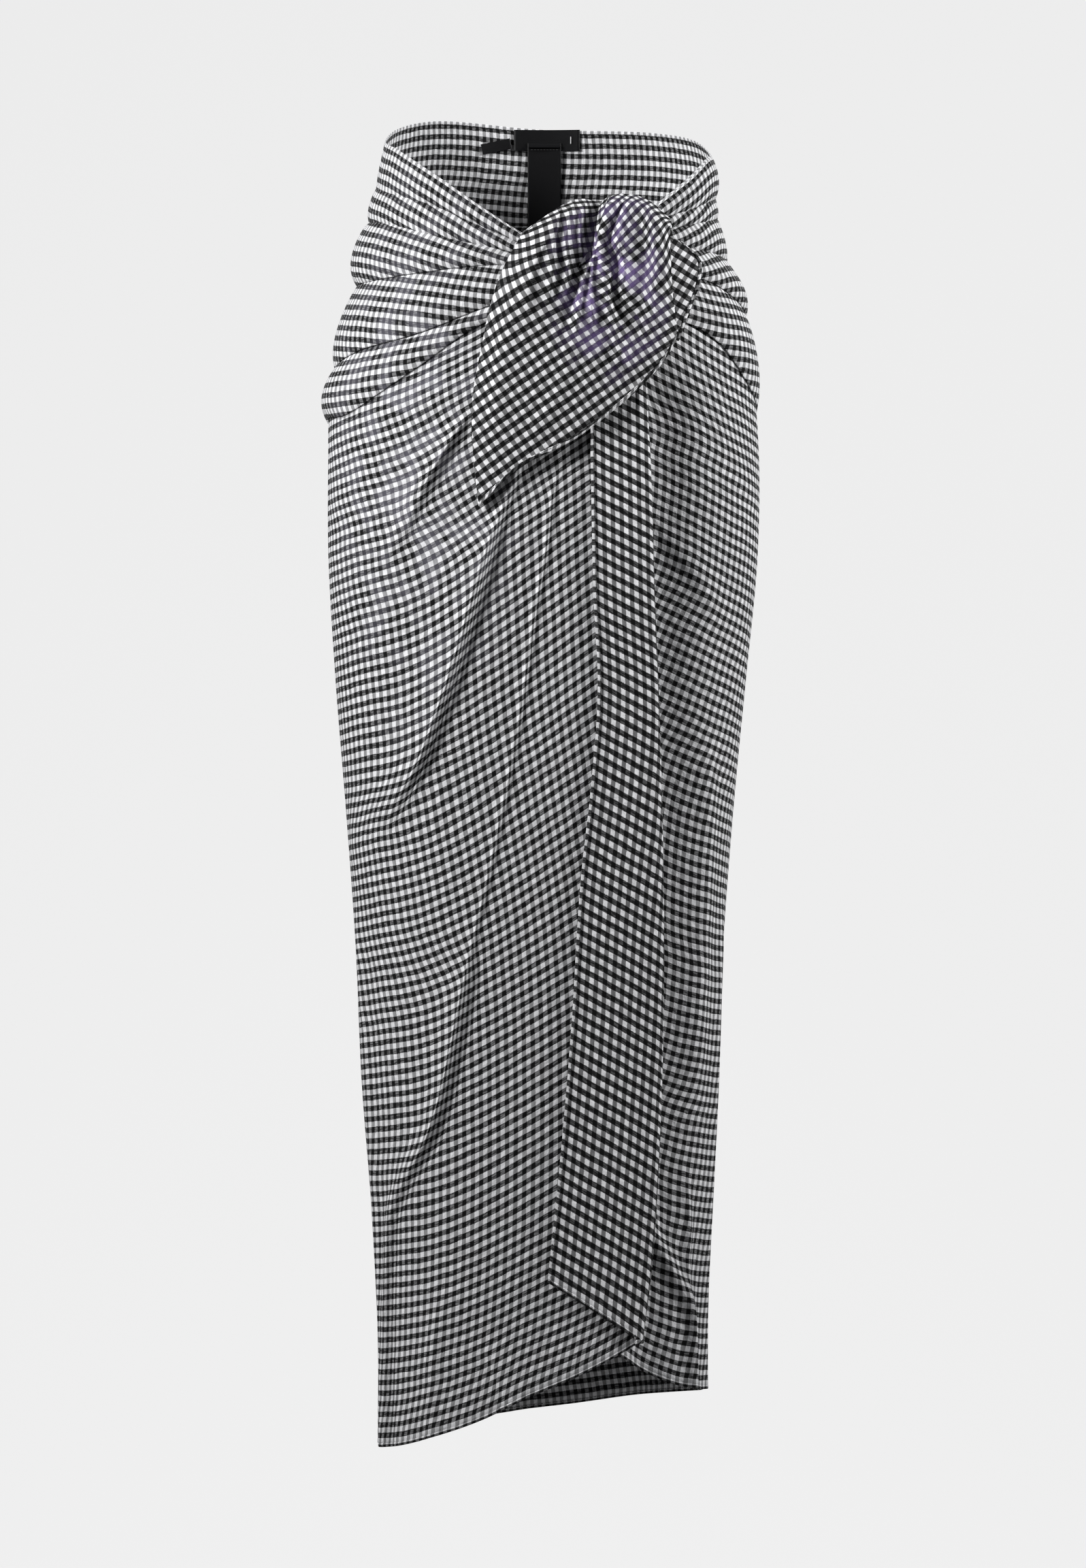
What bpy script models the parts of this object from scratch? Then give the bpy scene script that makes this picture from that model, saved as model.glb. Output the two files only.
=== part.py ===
"""A gingham sarong worn as a skirt and tied at the front.

Metres, +Z up, the front faces -Y and +X is the viewer's right. The origin is the middle of
the waist. One rectangle of cloth is wound once round the hips and a little over: it starts
under the front, runs round the right side, the back and the left side, crosses the front,
and its end is folded back on itself. Its top corners are tied, and one hangs as a leaf.
A place on the wound cloth is a turn angle in degrees from the front, where 90 is the right
side, 180 the back, 270 the left side and 360 the front again, one layer further out.
"""

import math

import bmesh
import bpy
import numpy as np

WALL = 0.0014  # modelled thickness of the cloth
SEAM_GAP = 0.0003  # between stretches of the cloth that continue each other
PLY_GAP = 0.0006  # least air between two layers
OVER_LIFT = 0.0023  # the over layer's face above the under layer's, where it starts to overlap
FOLD_LIFT = 0.0070  # the same at the folded edge
FOLD_RADIUS = 0.0022  # middle of the wall round the folded edge
SIDE_DEPTH = 0.082  # least curve radius at the side seams
MEAN_RADIUS = 0.13  # of the wound cloth, for small turns across it
CURVE_SHARE = 0.9  # mean curve radius, as a share of half the width
SWELL_PEAK = 1.613  # brings a swell's curve to its full height at its highest place
FOLD_FADE_IN = 0.065  # length over which a falling fold rises at its top
FOLD_FADE_OUT = 0.080  # and over which it sinks at its end
FOLD_TO_HEM = -0.84  # a fold that ends below this height runs out at the hem
LABEL_WALL = 0.0010

# Where each stretch of the wound cloth starts and ends, in degrees of turn.
UNDER_START = -24
RIGHT_SIDE = 90
LEFT_SIDE = 270

# Grids: how many columns across and rows down each piece has.
BAND_SHARES = (0.0, 0.12, 0.45, 0.82, 1.0)  # rows in each gathered band
BODY_ROWS = 17
BODY_ROW_POWER = 1.1  # rows lie a little closer below the last crease
UNDER_COLUMNS = 17
BACK_COLUMNS = 26
OVER_COLUMNS = 25
OVER_COLUMN_POWER = 0.92  # columns lie a little closer towards the folded edge
TURNED_COLUMNS = 6
BEND_COLUMNS = 6
LEAF_GRID = (22, 20)
LEAF_ROW_POWER = 1.25  # rows lie closer round the knot
FLAP_GRID = (4, 8)
FLAP_ARCH = 0.0012
KNOT_GRID = (16, 20)
KNOT_END = 0.12  # size of the bundle's ends, as a share of its middle
LABEL_GRID = (9, 7)

# The clothed figure at each height: how far it reaches from the origin's upright line.
BODY = (
    # z, left, right, front, back
    (0.040, 0.1160, 0.1180, 0.0850, 0.0820),
    (0.004, 0.1172, 0.1245, 0.0880, 0.0845),
    (-0.020, 0.1212, 0.1285, 0.0905, 0.0880),
    (-0.043, 0.1252, 0.1298, 0.0925, 0.0925),
    (-0.064, 0.1290, 0.1322, 0.0945, 0.0970),
    (-0.090, 0.1336, 0.1384, 0.0975, 0.1030),
    (-0.107, 0.1368, 0.1456, 0.0990, 0.1070),
    (-0.130, 0.1426, 0.1520, 0.1010, 0.1120),
    (-0.157, 0.1496, 0.1566, 0.1025, 0.1165),
    (-0.176, 0.1548, 0.1588, 0.1035, 0.1185),
    (-0.200, 0.1590, 0.1610, 0.1045, 0.1200),
    (-0.240, 0.1600, 0.1630, 0.1052, 0.1210),
    (-0.300, 0.1600, 0.1622, 0.1055, 0.1185),
    (-0.400, 0.1545, 0.1530, 0.1030, 0.1105),
    (-0.500, 0.1465, 0.1430, 0.1000, 0.1010),
    (-0.600, 0.1394, 0.1355, 0.0970, 0.0950),
    (-0.700, 0.1350, 0.1312, 0.0940, 0.0910),
    (-0.800, 0.1272, 0.1268, 0.0910, 0.0880),
    (-0.870, 0.1232, 0.1230, 0.0890, 0.0860),
    (-0.980, 0.1228, 0.1222, 0.0870, 0.0840),
)

# Where the cloth's top edge, its gathered creases and its hem lie, by turn.
EDGES = (
    # turn, top, crease_1, crease_2, crease_3, crease_4, crease_5, hem
    (-24, -0.118, -0.124, -0.130, -0.137, -0.150, -0.170, -0.846),
    (12, -0.090, -0.096, -0.102, -0.109, -0.122, -0.142, -0.880),
    (32, -0.062, -0.069, -0.076, -0.085, -0.104, -0.135, -0.902),
    (55, -0.032, -0.054, -0.065, -0.083, -0.106, -0.151, -0.922),
    (72, -0.014, -0.045, -0.059, -0.085, -0.117, -0.179, -0.928),
    (90, -0.007, -0.039, -0.055, -0.088, -0.128, -0.198, -0.931),
    (112, 0.008, -0.034, -0.053, -0.092, -0.134, -0.210, -0.936),
    (135, 0.0165, -0.028, -0.052, -0.096, -0.140, -0.218, -0.941),
    (180, 0.022, -0.018, -0.050, -0.100, -0.150, -0.225, -0.955),
    (228, 0.025, -0.020, -0.050, -0.103, -0.160, -0.222, -0.966),
    (250, 0.016, -0.026, -0.051, -0.106, -0.166, -0.218, -0.970),
    (270, 0.004, -0.032, -0.058, -0.106, -0.168, -0.206, -0.971),
    (298, -0.009, -0.041, -0.063, -0.105, -0.157, -0.203, -0.969),
    (323, -0.033, -0.054, -0.075, -0.102, -0.147, -0.174, -0.957),
    (340, -0.056, -0.070, -0.084, -0.099, -0.132, -0.144, -0.944),
    (354, -0.076, -0.084, -0.092, -0.100, -0.119, -0.131, -0.929),
    (372, -0.095, -0.102, -0.108, -0.114, -0.126, -0.142, -0.912),
    (398, -0.128, -0.136, -0.143, -0.149, -0.158, -0.172, -0.884),
)

# How far the cloth swells out between one crease and the next, by turn, in metres.
SWELLS = (
    # turn, under_top, under_1, under_2, under_3, under_4
    (-24, 0.0000, 0.0000, 0.0000, 0.0000, 0.0000),
    (20, 0.0006, 0.0008, 0.0010, 0.0010, 0.0008),
    (34, 0.0026, 0.0024, 0.0026, 0.0028, 0.0024),
    (55, 0.0036, 0.0030, 0.0036, 0.0044, 0.0034),
    (90, 0.0036, 0.0018, 0.0038, 0.0060, 0.0050),
    (135, 0.0010, 0.0012, 0.0022, 0.0030, 0.0024),
    (180, 0.0000, 0.0004, 0.0008, 0.0010, 0.0008),
    (235, 0.0006, 0.0014, 0.0044, 0.0040, 0.0034),
    (262, 0.0008, 0.0034, 0.0096, 0.0084, 0.0078),
    (276, 0.0010, 0.0036, 0.0096, 0.0080, 0.0074),
    (298, 0.0020, 0.0034, 0.0064, 0.0060, 0.0046),
    (323, 0.0030, 0.0034, 0.0044, 0.0052, 0.0032),
    (340, 0.0030, 0.0032, 0.0036, 0.0046, 0.0028),
    (354, 0.0022, 0.0024, 0.0026, 0.0034, 0.0022),
    (366, 0.0000, 0.0000, 0.0000, 0.0000, 0.0000),
    (398, 0.0000, 0.0000, 0.0000, 0.0000, 0.0000),
)

# Soft folds that fall from the knot. Each line is given at three places down it.
FALLING_FOLDS = (
    # turn_top, z_top, turn_middle, z_middle, turn_end, z_end, height, half_width
    (342, -0.190, 326, -0.265, 309, -0.330, 0.0036, 0.0130),
    (353, -0.235, 334, -0.400, 309, -0.520, 0.0040, 0.0170),
    (364, -0.235, 349, -0.560, 312, -0.870, 0.0034, 0.0160),
    (44, -0.150, 56, -0.300, 66, -0.430, 0.0034, 0.0180),
    (60, -0.230, 72, -0.400, 80, -0.560, 0.0030, 0.0200),
    (40, -0.760, 55, -0.870, 62, -0.935, 0.0040, 0.0120),
    (108, -0.300, 106, -0.640, 112, -0.940, 0.0050, 0.0220),
    (142, -0.330, 148, -0.660, 146, -0.945, 0.0060, 0.0240),
    (184, -0.300, 178, -0.640, 184, -0.955, 0.0050, 0.0260),
    (222, -0.330, 216, -0.660, 220, -0.960, 0.0060, 0.0240),
    (254, -0.300, 256, -0.640, 250, -0.965, 0.0045, 0.0220),
    (291, -0.620, 297, -0.800, 293, -0.965, 0.0036, 0.0150),
)

# The folded edge of the over layer, and the cloth's own edge that is turned back over it.
FOLDED_EDGE = (
    # z, fold_x, cloth_edge_x
    (-0.100, 0.0690, 0.0330),
    (-0.190, 0.0746, 0.0352),
    (-0.253, 0.0780, 0.0362),
    (-0.342, 0.0806, 0.0382),
    (-0.408, 0.0834, 0.0412),
    (-0.475, 0.0856, 0.0368),
    (-0.541, 0.0870, 0.0295),
    (-0.662, 0.0870, 0.0215),
    (-0.729, 0.0850, 0.0160),
    (-0.796, 0.0816, 0.0095),
    (-0.840, 0.0780, 0.0048),
    (-0.885, 0.0722, 0.0010),
)
TURNED_HEM_RISE = 0.0460  # of the turned-back hem, from the fold to the cloth's edge

# Outline of the hanging leaf in the front view, each side as seen, in metres.
LEAF_LEFT = (
    # x, z
    (-0.0138, -0.0757),
    (-0.0287, -0.1024),
    (-0.0370, -0.1256),
    (-0.0435, -0.1558),
    (-0.0509, -0.1993),
    (-0.0504, -0.2329),
    (-0.0460, -0.2744),
)
LEAF_TOP = (
    # x, z
    (-0.0138, -0.0757),
    (0.0064, -0.0624),
    (0.0280, -0.0525),
    (0.0440, -0.0530),
    (0.0618, -0.0480),
    (0.0815, -0.0522),
    (0.0969, -0.0639),
)
LEAF_RIGHT = (
    # x, z
    (0.0969, -0.0639),
    (0.0972, -0.0900),
    (0.0982, -0.1200),
    (0.1018, -0.1494),
)
LEAF_HEM = (
    # x, z
    (-0.0460, -0.2744),
    (-0.0188, -0.2497),
    (0.0267, -0.2260),
    (0.0499, -0.2092),
    (0.0730, -0.1894),
    (0.0934, -0.1657),
    (0.1018, -0.1494),
)
# How far the leaf stands off the clothed figure, by the share of the way down it.
LEAF_STANDOFF = (
    # down, at_0, at_12, at_30, at_44, at_52, at_60, at_76, at_90, at_100
    (0.00, 0.0150, 0.0190, 0.0240, 0.0235, 0.0215, 0.0240, 0.0265, 0.0235, 0.0170),
    (0.05, 0.0130, 0.0250, 0.0340, 0.0345, 0.0285, 0.0350, 0.0390, 0.0335, 0.0210),
    (0.13, 0.0120, 0.0265, 0.0375, 0.0375, 0.0290, 0.0370, 0.0430, 0.0370, 0.0225),
    (0.25, 0.0115, 0.0250, 0.0350, 0.0330, 0.0285, 0.0345, 0.0410, 0.0360, 0.0225),
    (0.42, 0.0110, 0.0205, 0.0275, 0.0275, 0.0270, 0.0300, 0.0325, 0.0290, 0.0200),
    (0.68, 0.0100, 0.0160, 0.0210, 0.0225, 0.0230, 0.0240, 0.0235, 0.0200, 0.0160),
    (1.00, 0.0090, 0.0115, 0.0135, 0.0150, 0.0155, 0.0158, 0.0150, 0.0130, 0.0115),
)
LEAF_SHARES = (0.0, 0.12, 0.30, 0.44, 0.52, 0.60, 0.76, 0.90, 1.0)
# Creases and soft ridges pressed into the leaf round the knot, as seen from the front.
LEAF_FOLDS = (
    # x_top, z_top, x_end, z_end, height, half_width
    (0.0560, -0.0700, 0.0560, -0.1180, -0.0030, 0.0035),
    (0.0230, -0.0640, 0.0120, -0.1200, -0.0026, 0.0035),
    (0.0080, -0.0720, -0.0130, -0.1450, 0.0022, 0.0050),
    (0.0400, -0.0900, 0.0270, -0.1400, 0.0024, 0.0045),
    (0.0440, -0.0950, 0.0620, -0.1650, 0.0026, 0.0055),
    (0.0850, -0.0700, 0.0900, -0.1250, -0.0020, 0.0040),
    (0.0300, -0.1350, 0.0080, -0.2150, 0.0018, 0.0080),
)
# The leaf's top rolls over and runs down behind: drop below the top edge, and standoff.
LEAF_ROLL = (
    # drop, standoff
    (0.0340, 0.0105),
    (0.0180, 0.0110),
    (0.0075, 0.0125),
    (0.0020, 0.0160),
)

# The part of the tied corner that shows past the leaf's right side.
FLAP_INNER = (
    # x, z
    (0.0885, -0.0740),
    (0.0885, -0.1120),
    (0.0925, -0.1500),
)
FLAP_OUTER = (
    # x, z
    (0.1040, -0.0790),
    (0.1180, -0.0930),
    (0.1176, -0.1075),
    (0.1130, -0.1230),
    (0.1070, -0.1380),
    (0.1015, -0.1535),
)
FLAP_STANDOFF = 0.0088

KNOT = {
    "x": 0.0450,
    "z": -0.1010,
    "half_length": 0.0330,
    "half_height": 0.0150,
    "depth": 0.0099,
    "standoff": 0.0166,
    "groove": 0.07,
    "lobes": 5,
    "twist": 1.3,
}

# Plain woven labels on the inside of the back.
LABELS = {
    # name: x, z, width, height, tilt in degrees, layers below it
    "waist_label": (0.0040, 0.0140, 0.0510, 0.0160, 0.0, 0),
    "care_label": (0.0020, -0.0250, 0.0260, 0.0740, 0.0, 1),
    "size_tab": (-0.0350, 0.0090, 0.0230, 0.0080, 13.0, 0),
}

DARK = (0.030, 0.030, 0.032, 1.0)
CLOTH_GREY = (0.32, 0.32, 0.325, 1.0)


def curve_through(table, column, at):
    """A smooth curve through one column of a table, read at values of its first column."""
    knots = np.array([row[0] for row in table], float)
    values = np.array([row[column] for row in table], float)
    order = np.argsort(knots)
    knots, values = knots[order], values[order]
    slopes = np.gradient(values, knots)
    at = np.clip(np.asarray(at, float), knots[0], knots[-1])
    i = np.clip(np.searchsorted(knots, at) - 1, 0, len(knots) - 2)
    step = knots[i + 1] - knots[i]
    t = (at - knots[i]) / step
    return (
        values[i] * (2 * t**3 - 3 * t**2 + 1)
        + values[i + 1] * (3 * t**2 - 2 * t**3)
        + slopes[i] * step * (t**3 - 2 * t**2 + t)
        + slopes[i + 1] * step * (t**3 - t**2)
    )


def smooth_step(low, high, value):
    t = np.clip((np.asarray(value, float) - low) / (high - low), 0, 1)
    return t * t * (3 - 2 * t)


def across_body(z):
    """Middle and half of the clothed figure's width at a height."""
    left, right = curve_through(BODY, 1, z), curve_through(BODY, 2, z)
    return (right - left) / 2, (right + left) / 2


def section(turn, z):
    """Place on the clothed figure at a turn and a height, and the way straight out."""
    angle = np.radians(turn)
    middle, half_width = across_body(z)
    share = 0.5 - 0.5 * np.cos(angle)
    depth = curve_through(BODY, 3, z) * (1 - share) + curve_through(BODY, 4, z) * share
    out = np.stack([depth * np.sin(angle), -half_width * np.cos(angle), 0 * angle], axis=-1)
    out /= np.linalg.norm(out, axis=-1, keepdims=True)
    x = middle + half_width * np.sin(angle)
    return np.stack([x, -depth * np.cos(angle), z + 0 * angle], axis=-1), out


def falling_folds(turn, z):
    """Height of the long soft folds at each place."""
    lift = np.zeros(np.broadcast(turn, z).shape)
    radius = CURVE_SHARE * across_body(z)[1]
    for turn_top, z_top, turn_mid, z_mid, turn_end, z_end, height, half_width in FALLING_FOLDS:
        line = ((z_end, turn_end), (z_mid, turn_mid), (z_top, turn_top))
        centre = curve_through(line, 1, z)
        slope = np.radians(turn_end - turn_top) * MEAN_RADIUS / (z_end - z_top)
        away = np.radians(turn - centre) * radius / math.hypot(1, slope)
        start = z_top + 0.015
        shown = smooth_step(start, start - FOLD_FADE_IN, z)
        if z_end > FOLD_TO_HEM:
            end = z_end - 0.02
            shown = shown * smooth_step(end, end + FOLD_FADE_OUT, z)
        lift = lift + height * shown * np.exp(-((away / half_width) ** 2))
    return lift


def over_lift(turn):
    """Extra distance out where the over layer lies on the under layer."""
    start = OVER_LIFT * smooth_step(290, 334, turn)
    return start + (FOLD_LIFT - OVER_LIFT) * smooth_step(334, 392, turn)


def wound_place(turn, row):
    """Height and lift of the cloth's face at a turn, for a row counted in bands of cloth.

    Row 0 is the top edge, rows 1 to 5 are the creases and row 6 is the hem.
    """
    turn = np.asarray(turn, float)
    band = np.clip(np.floor(row), 0, 5).astype(int)
    share = row - band
    lines = np.stack([curve_through(EDGES, column, turn) for column in range(1, 8)])
    upper = np.take_along_axis(lines, band[None], axis=0)[0]
    lower = np.take_along_axis(lines, band[None] + 1, axis=0)[0]
    z = upper + (lower - upper) * share
    swells = [curve_through(SWELLS, column, turn) for column in range(1, 6)]
    swell = np.take_along_axis(np.stack(swells + [0 * turn]), band[None], axis=0)[0]
    lift = np.clip(swell, 0, None) * share**0.5 * (1 - share**3) * SWELL_PEAK
    return z, lift + over_lift(turn) + falling_folds(turn, z)


def fold_turn(z, column=1, lift=FOLD_LIFT):
    """Turn angle of the folded edge, or of the cloth's own edge, at a height."""
    middle, half_width = across_body(z)
    x = curve_through(FOLDED_EDGE, column, z) - middle
    return 360 + np.degrees(np.arcsin(x / (half_width + lift)))


def material(name, colour, roughness):
    made = bpy.data.materials.new(name)
    made.use_nodes = True
    shader = made.node_tree.nodes["Principled BSDF"]
    shader.inputs["Base Color"].default_value = colour
    shader.inputs["Roughness"].default_value = roughness
    shader.inputs["Metallic"].default_value = 0.0
    made.diffuse_color = colour
    return made


def wall(name, middle, out, thickness, finish):
    """A closed wall of cloth on a grid of middle points and the ways out of its face."""
    rows, columns = middle.shape[:2]
    skins = (middle + out * thickness / 2, middle - out * thickness / 2)
    shape = bmesh.new()
    face, back = (
        [[shape.verts.new(point) for point in line] for line in skin] for skin in skins
    )
    for i in range(rows - 1):
        for j in range(columns - 1):
            corners = ((i, j), (i + 1, j), (i + 1, j + 1), (i, j + 1))
            shape.faces.new([face[r][c] for r, c in corners])
            shape.faces.new([back[r][c] for r, c in reversed(corners)])
    rim = [(i, 0) for i in range(rows)] + [(rows - 1, j) for j in range(1, columns)]
    rim += [(i, columns - 1) for i in range(rows - 2, -1, -1)]
    rim += [(0, j) for j in range(columns - 2, 0, -1)]
    for (r, c), (next_r, next_c) in zip(rim, rim[1:] + rim[:1]):
        corners = (face[next_r][next_c], face[r][c], back[r][c], back[next_r][next_c])
        shape.faces.new(corners)
    bmesh.ops.recalc_face_normals(shape, faces=shape.faces)
    mesh = bpy.data.meshes.new(name)
    shape.to_mesh(mesh)
    shape.free()
    mesh.shade_smooth()
    mesh.set_sharp_from_angle(angle=math.radians(50))
    made = bpy.data.objects.new(name, mesh)
    made.data.materials.append(finish)
    bpy.context.scene.collection.objects.link(made)
    return made


def band_rows():
    """Rows down the cloth: the same shares of each gathered band, then even rows to the hem."""
    bands = len(SWELLS[0]) - 1
    gathered = [band + share for band in range(bands) for share in BAND_SHARES[:-1]]
    below = bands + np.linspace(0, 1, BODY_ROWS + 1) ** BODY_ROW_POWER
    return np.concatenate([gathered, below])


def wound_grid(turns, rows):
    """Middle points and ways out over a grid of turns and rows of the wound cloth."""
    turn, row = np.broadcast_arrays(turns, rows[:, None])
    z, lift = wound_place(turn, row)
    place, out = section(turn, z)
    return place + out * (lift - WALL / 2)[..., None], out


def wound_panel(name, first, last, columns, rows, finish):
    """One stretch of the wound cloth between two turns."""
    middle, out = wound_grid(np.linspace(first, last, columns + 1)[None, :], rows)
    return wall(name, middle, out, WALL, finish)


def fold_rows(rows):
    """Height of each row of the cloth where it meets the folded edge."""
    z = np.linspace(EDGES[-1][1], EDGES[-1][-1], len(rows))
    for _ in range(6):
        z = wound_place(fold_turn(z), rows)[0]
    return z[:, None]


def over_panel(first, rows, finish):
    """The front of the over layer, from the left side to the folded edge."""
    shares = np.linspace(0, 1, OVER_COLUMNS + 1) ** OVER_COLUMN_POWER
    last = fold_turn(fold_rows(rows)) - math.degrees(SEAM_GAP / 2 / MEAN_RADIUS)
    turn = first + (last - first) * shares
    z, lift = wound_place(turn, np.broadcast_to(rows[:, None], turn.shape))
    place, out = section(turn, z)
    return wall("front_over", place + out * (lift - WALL / 2)[..., None], out, WALL, finish)


def turned_edge(rows, finish):
    """The end of the cloth, turned back over the front from the folded edge."""
    bend = np.radians(np.linspace(-82, 90, BEND_COLUMNS))
    strip = np.linspace(0, 1, TURNED_COLUMNS + 1)[1:]
    across = np.concatenate([np.zeros(len(bend)), strip])
    down = rows[:, None] - rows[0]
    z = fold_rows(rows) + TURNED_HEM_RISE * across * down
    fold, edge = fold_turn(z), fold_turn(z, 2)
    turn = fold + (edge - fold) * across
    base = over_lift(turn) + falling_folds(turn, z) - WALL / 2
    flat_lift = WALL + PLY_GAP
    strip_lift = 2 * FOLD_RADIUS + (flat_lift - 2 * FOLD_RADIUS) * smooth_step(0, 0.8, across)
    place, out = section(turn, z)
    along = np.stack([-out[..., 1], out[..., 0], 0 * out[..., 2]], axis=-1)
    middle = place + out * (base + strip_lift)[..., None]
    ways = out.copy()
    for i, angle in enumerate(bend):
        way = along[:, i] * math.cos(angle) + out[:, i] * math.sin(angle)
        centre = place[:, i] + out[:, i] * (base[:, i] + FOLD_RADIUS)[:, None]
        middle[:, i] = centre + way * FOLD_RADIUS
        ways[:, i] = way
    return wall("turned_edge", middle, ways, WALL, finish)


def side_points(side, shares):
    """Points at even shares along a side of an outline, through a smooth curve."""
    side = np.array(side, float)
    lengths = np.concatenate([[0], np.cumsum(np.linalg.norm(np.diff(side, axis=0), axis=1))])
    table = [(length / lengths[-1], *point) for length, point in zip(lengths, side)]
    return np.stack([curve_through(table, 1, shares), curve_through(table, 2, shares)], axis=-1)


def on_front(x, z, standoff):
    """A point in front of the clothed figure, that far out from it, and the way out."""
    middle, half_width = across_body(z)
    turn = np.degrees(np.arcsin(np.clip((x - middle) / (half_width + standoff), -1, 1)))
    place, out = section(turn, z)
    return place + out * np.asarray(standoff)[..., None], out


def grid_ways(middle, towards):
    """The way out of a grid's face at each point, on the side that towards points to."""
    across = np.gradient(middle, axis=1)
    down = np.gradient(middle, axis=0)
    ways = np.cross(across, down)
    ways /= np.linalg.norm(ways, axis=-1, keepdims=True)
    return ways * np.sign((ways * towards).sum(-1, keepdims=True))


def leaf_folds(x, z):
    """Height of the creases and ridges at each place on the leaf."""
    lift = 0 * x
    for x_top, z_top, x_end, z_end, height, half_width in LEAF_FOLDS:
        length = math.hypot(x_end - x_top, z_end - z_top)
        way_x, way_z = (x_end - x_top) / length, (z_end - z_top) / length
        along = ((x - x_top) * way_x + (z - z_top) * way_z) / length
        away = (x - x_top) * way_z - (z - z_top) * way_x
        ends = smooth_step(-0.12, 0.15, along) * smooth_step(1.15, 0.7, along)
        lift = lift + height * ends * np.exp(-((away / half_width) ** 2))
    return lift


def leaf(finish):
    """The tied corner that rolls over the knot and hangs over the front."""
    columns, rows = LEAF_GRID
    across, down = np.linspace(0, 1, columns + 1), np.linspace(0, 1, rows + 1) ** LEAF_ROW_POWER
    top, hem = side_points(LEAF_TOP, across), side_points(LEAF_HEM, across)
    left, right = side_points(LEAF_LEFT, down), side_points(LEAF_RIGHT, down)
    u, v = across[None, :, None], down[:, None, None]
    corners = (top[0] * (1 - u) + top[-1] * u) * (1 - v) + (hem[0] * (1 - u) + hem[-1] * u) * v
    front = left[:, None] * (1 - u) + right[:, None] * u + top * (1 - v) + hem * v - corners
    bands = [curve_through(LEAF_STANDOFF, 1 + i, down) for i in range(len(LEAF_SHARES))]
    standoff = np.array(
        [curve_through(list(zip(LEAF_SHARES, line)), 1, across) for line in np.stack(bands, axis=1)]
    )
    standoff += leaf_folds(front[..., 0], front[..., 1])
    middle, out = on_front(front[..., 0], front[..., 1], standoff)
    behind = []
    for drop, back_standoff in LEAF_ROLL:
        reach = smooth_step(0, 0.12, across) * smooth_step(1, 0.9, across)
        kept = back_standoff + (standoff[0] - back_standoff) * (1 - reach) * 0.6
        behind.append(on_front(top[:, 0], top[:, 1] - drop * (0.3 + 0.7 * reach), kept)[0])
    middle = np.concatenate([np.array(behind), middle])
    ways = grid_ways(middle, np.array([0.0, -1.0, 0.25]))
    turned = ways[: len(LEAF_ROLL)]
    outward = middle[: len(LEAF_ROLL)] - (middle[len(LEAF_ROLL) + 2] + middle[0]) / 2
    turned *= np.sign((turned * outward).sum(-1, keepdims=True))
    return wall("tie_leaf", middle, ways, WALL, finish)


def flap(finish):
    """The rest of the tied corner, seen past the leaf."""
    columns, rows = FLAP_GRID
    down = np.linspace(0, 1, rows + 1)
    inner, outer = side_points(FLAP_INNER, down), side_points(FLAP_OUTER, down)
    u = np.linspace(0, 1, columns + 1)[None, :, None]
    front = inner[:, None] * (1 - u) + outer[:, None] * u
    arch = np.sin(np.pi * u[..., 0]) * FLAP_ARCH
    middle, out = on_front(front[..., 0], front[..., 1], FLAP_STANDOFF + arch + 0 * front[..., 0])
    return wall("tie_flap", middle, out, WALL, finish)


def knot(finish):
    """The twisted bundle inside the knot, as one rounded solid with rope-like grooves."""
    rings, points = KNOT_GRID
    shape = bmesh.new()
    loops = []
    for i in range(rings + 1):
        along = -1 + 2 * i / rings
        size = max(KNOT_END, (1 - abs(along) ** 3.0) ** 0.5)
        loop = []
        for j in range(points):
            angle = 2 * math.pi * j / points
            groove = 1 - KNOT["groove"] * math.cos(KNOT["lobes"] * (angle + KNOT["twist"] * along))
            z = KNOT["z"] + KNOT["half_height"] * size * groove * math.cos(angle)
            standoff = KNOT["standoff"] + KNOT["depth"] * size * groove * math.sin(angle)
            x = KNOT["x"] + KNOT["half_length"] * along
            place = on_front(np.array(x), np.array(z), np.array(standoff))[0]
            loop.append(shape.verts.new(place))
        loops.append(loop)
    for first, second in zip(loops, loops[1:]):
        for j in range(points):
            k = (j + 1) % points
            shape.faces.new((first[j], first[k], second[k], second[j]))
    shape.faces.new(loops[0])
    shape.faces.new(loops[-1])
    bmesh.ops.recalc_face_normals(shape, faces=shape.faces)
    mesh = bpy.data.meshes.new("knot")
    shape.to_mesh(mesh)
    shape.free()
    mesh.shade_smooth()
    made = bpy.data.objects.new("knot", mesh)
    made.data.materials.append(finish)
    bpy.context.scene.collection.objects.link(made)
    return made


def label(name, finish):
    """A thin woven label that follows the inside of the back."""
    x, z, width, height, tilt, layers = LABELS[name]
    across = np.linspace(-width / 2, width / 2, LABEL_GRID[0])[None, :]
    down = np.linspace(height / 2, -height / 2, LABEL_GRID[1])[:, None]
    lean = math.radians(tilt)
    side = x + across * math.cos(lean) - down * math.sin(lean)
    level = z + across * math.sin(lean) + down * math.cos(lean)
    middle, half_width = across_body(level)
    turn = 180 - np.degrees(np.arcsin((side - middle) / half_width))
    place, out = section(turn, level)
    inwards = WALL + PLY_GAP + (LABEL_WALL + SEAM_GAP) * layers + LABEL_WALL / 2
    return wall(name, place - out * inwards, out, LABEL_WALL, finish)


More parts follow.
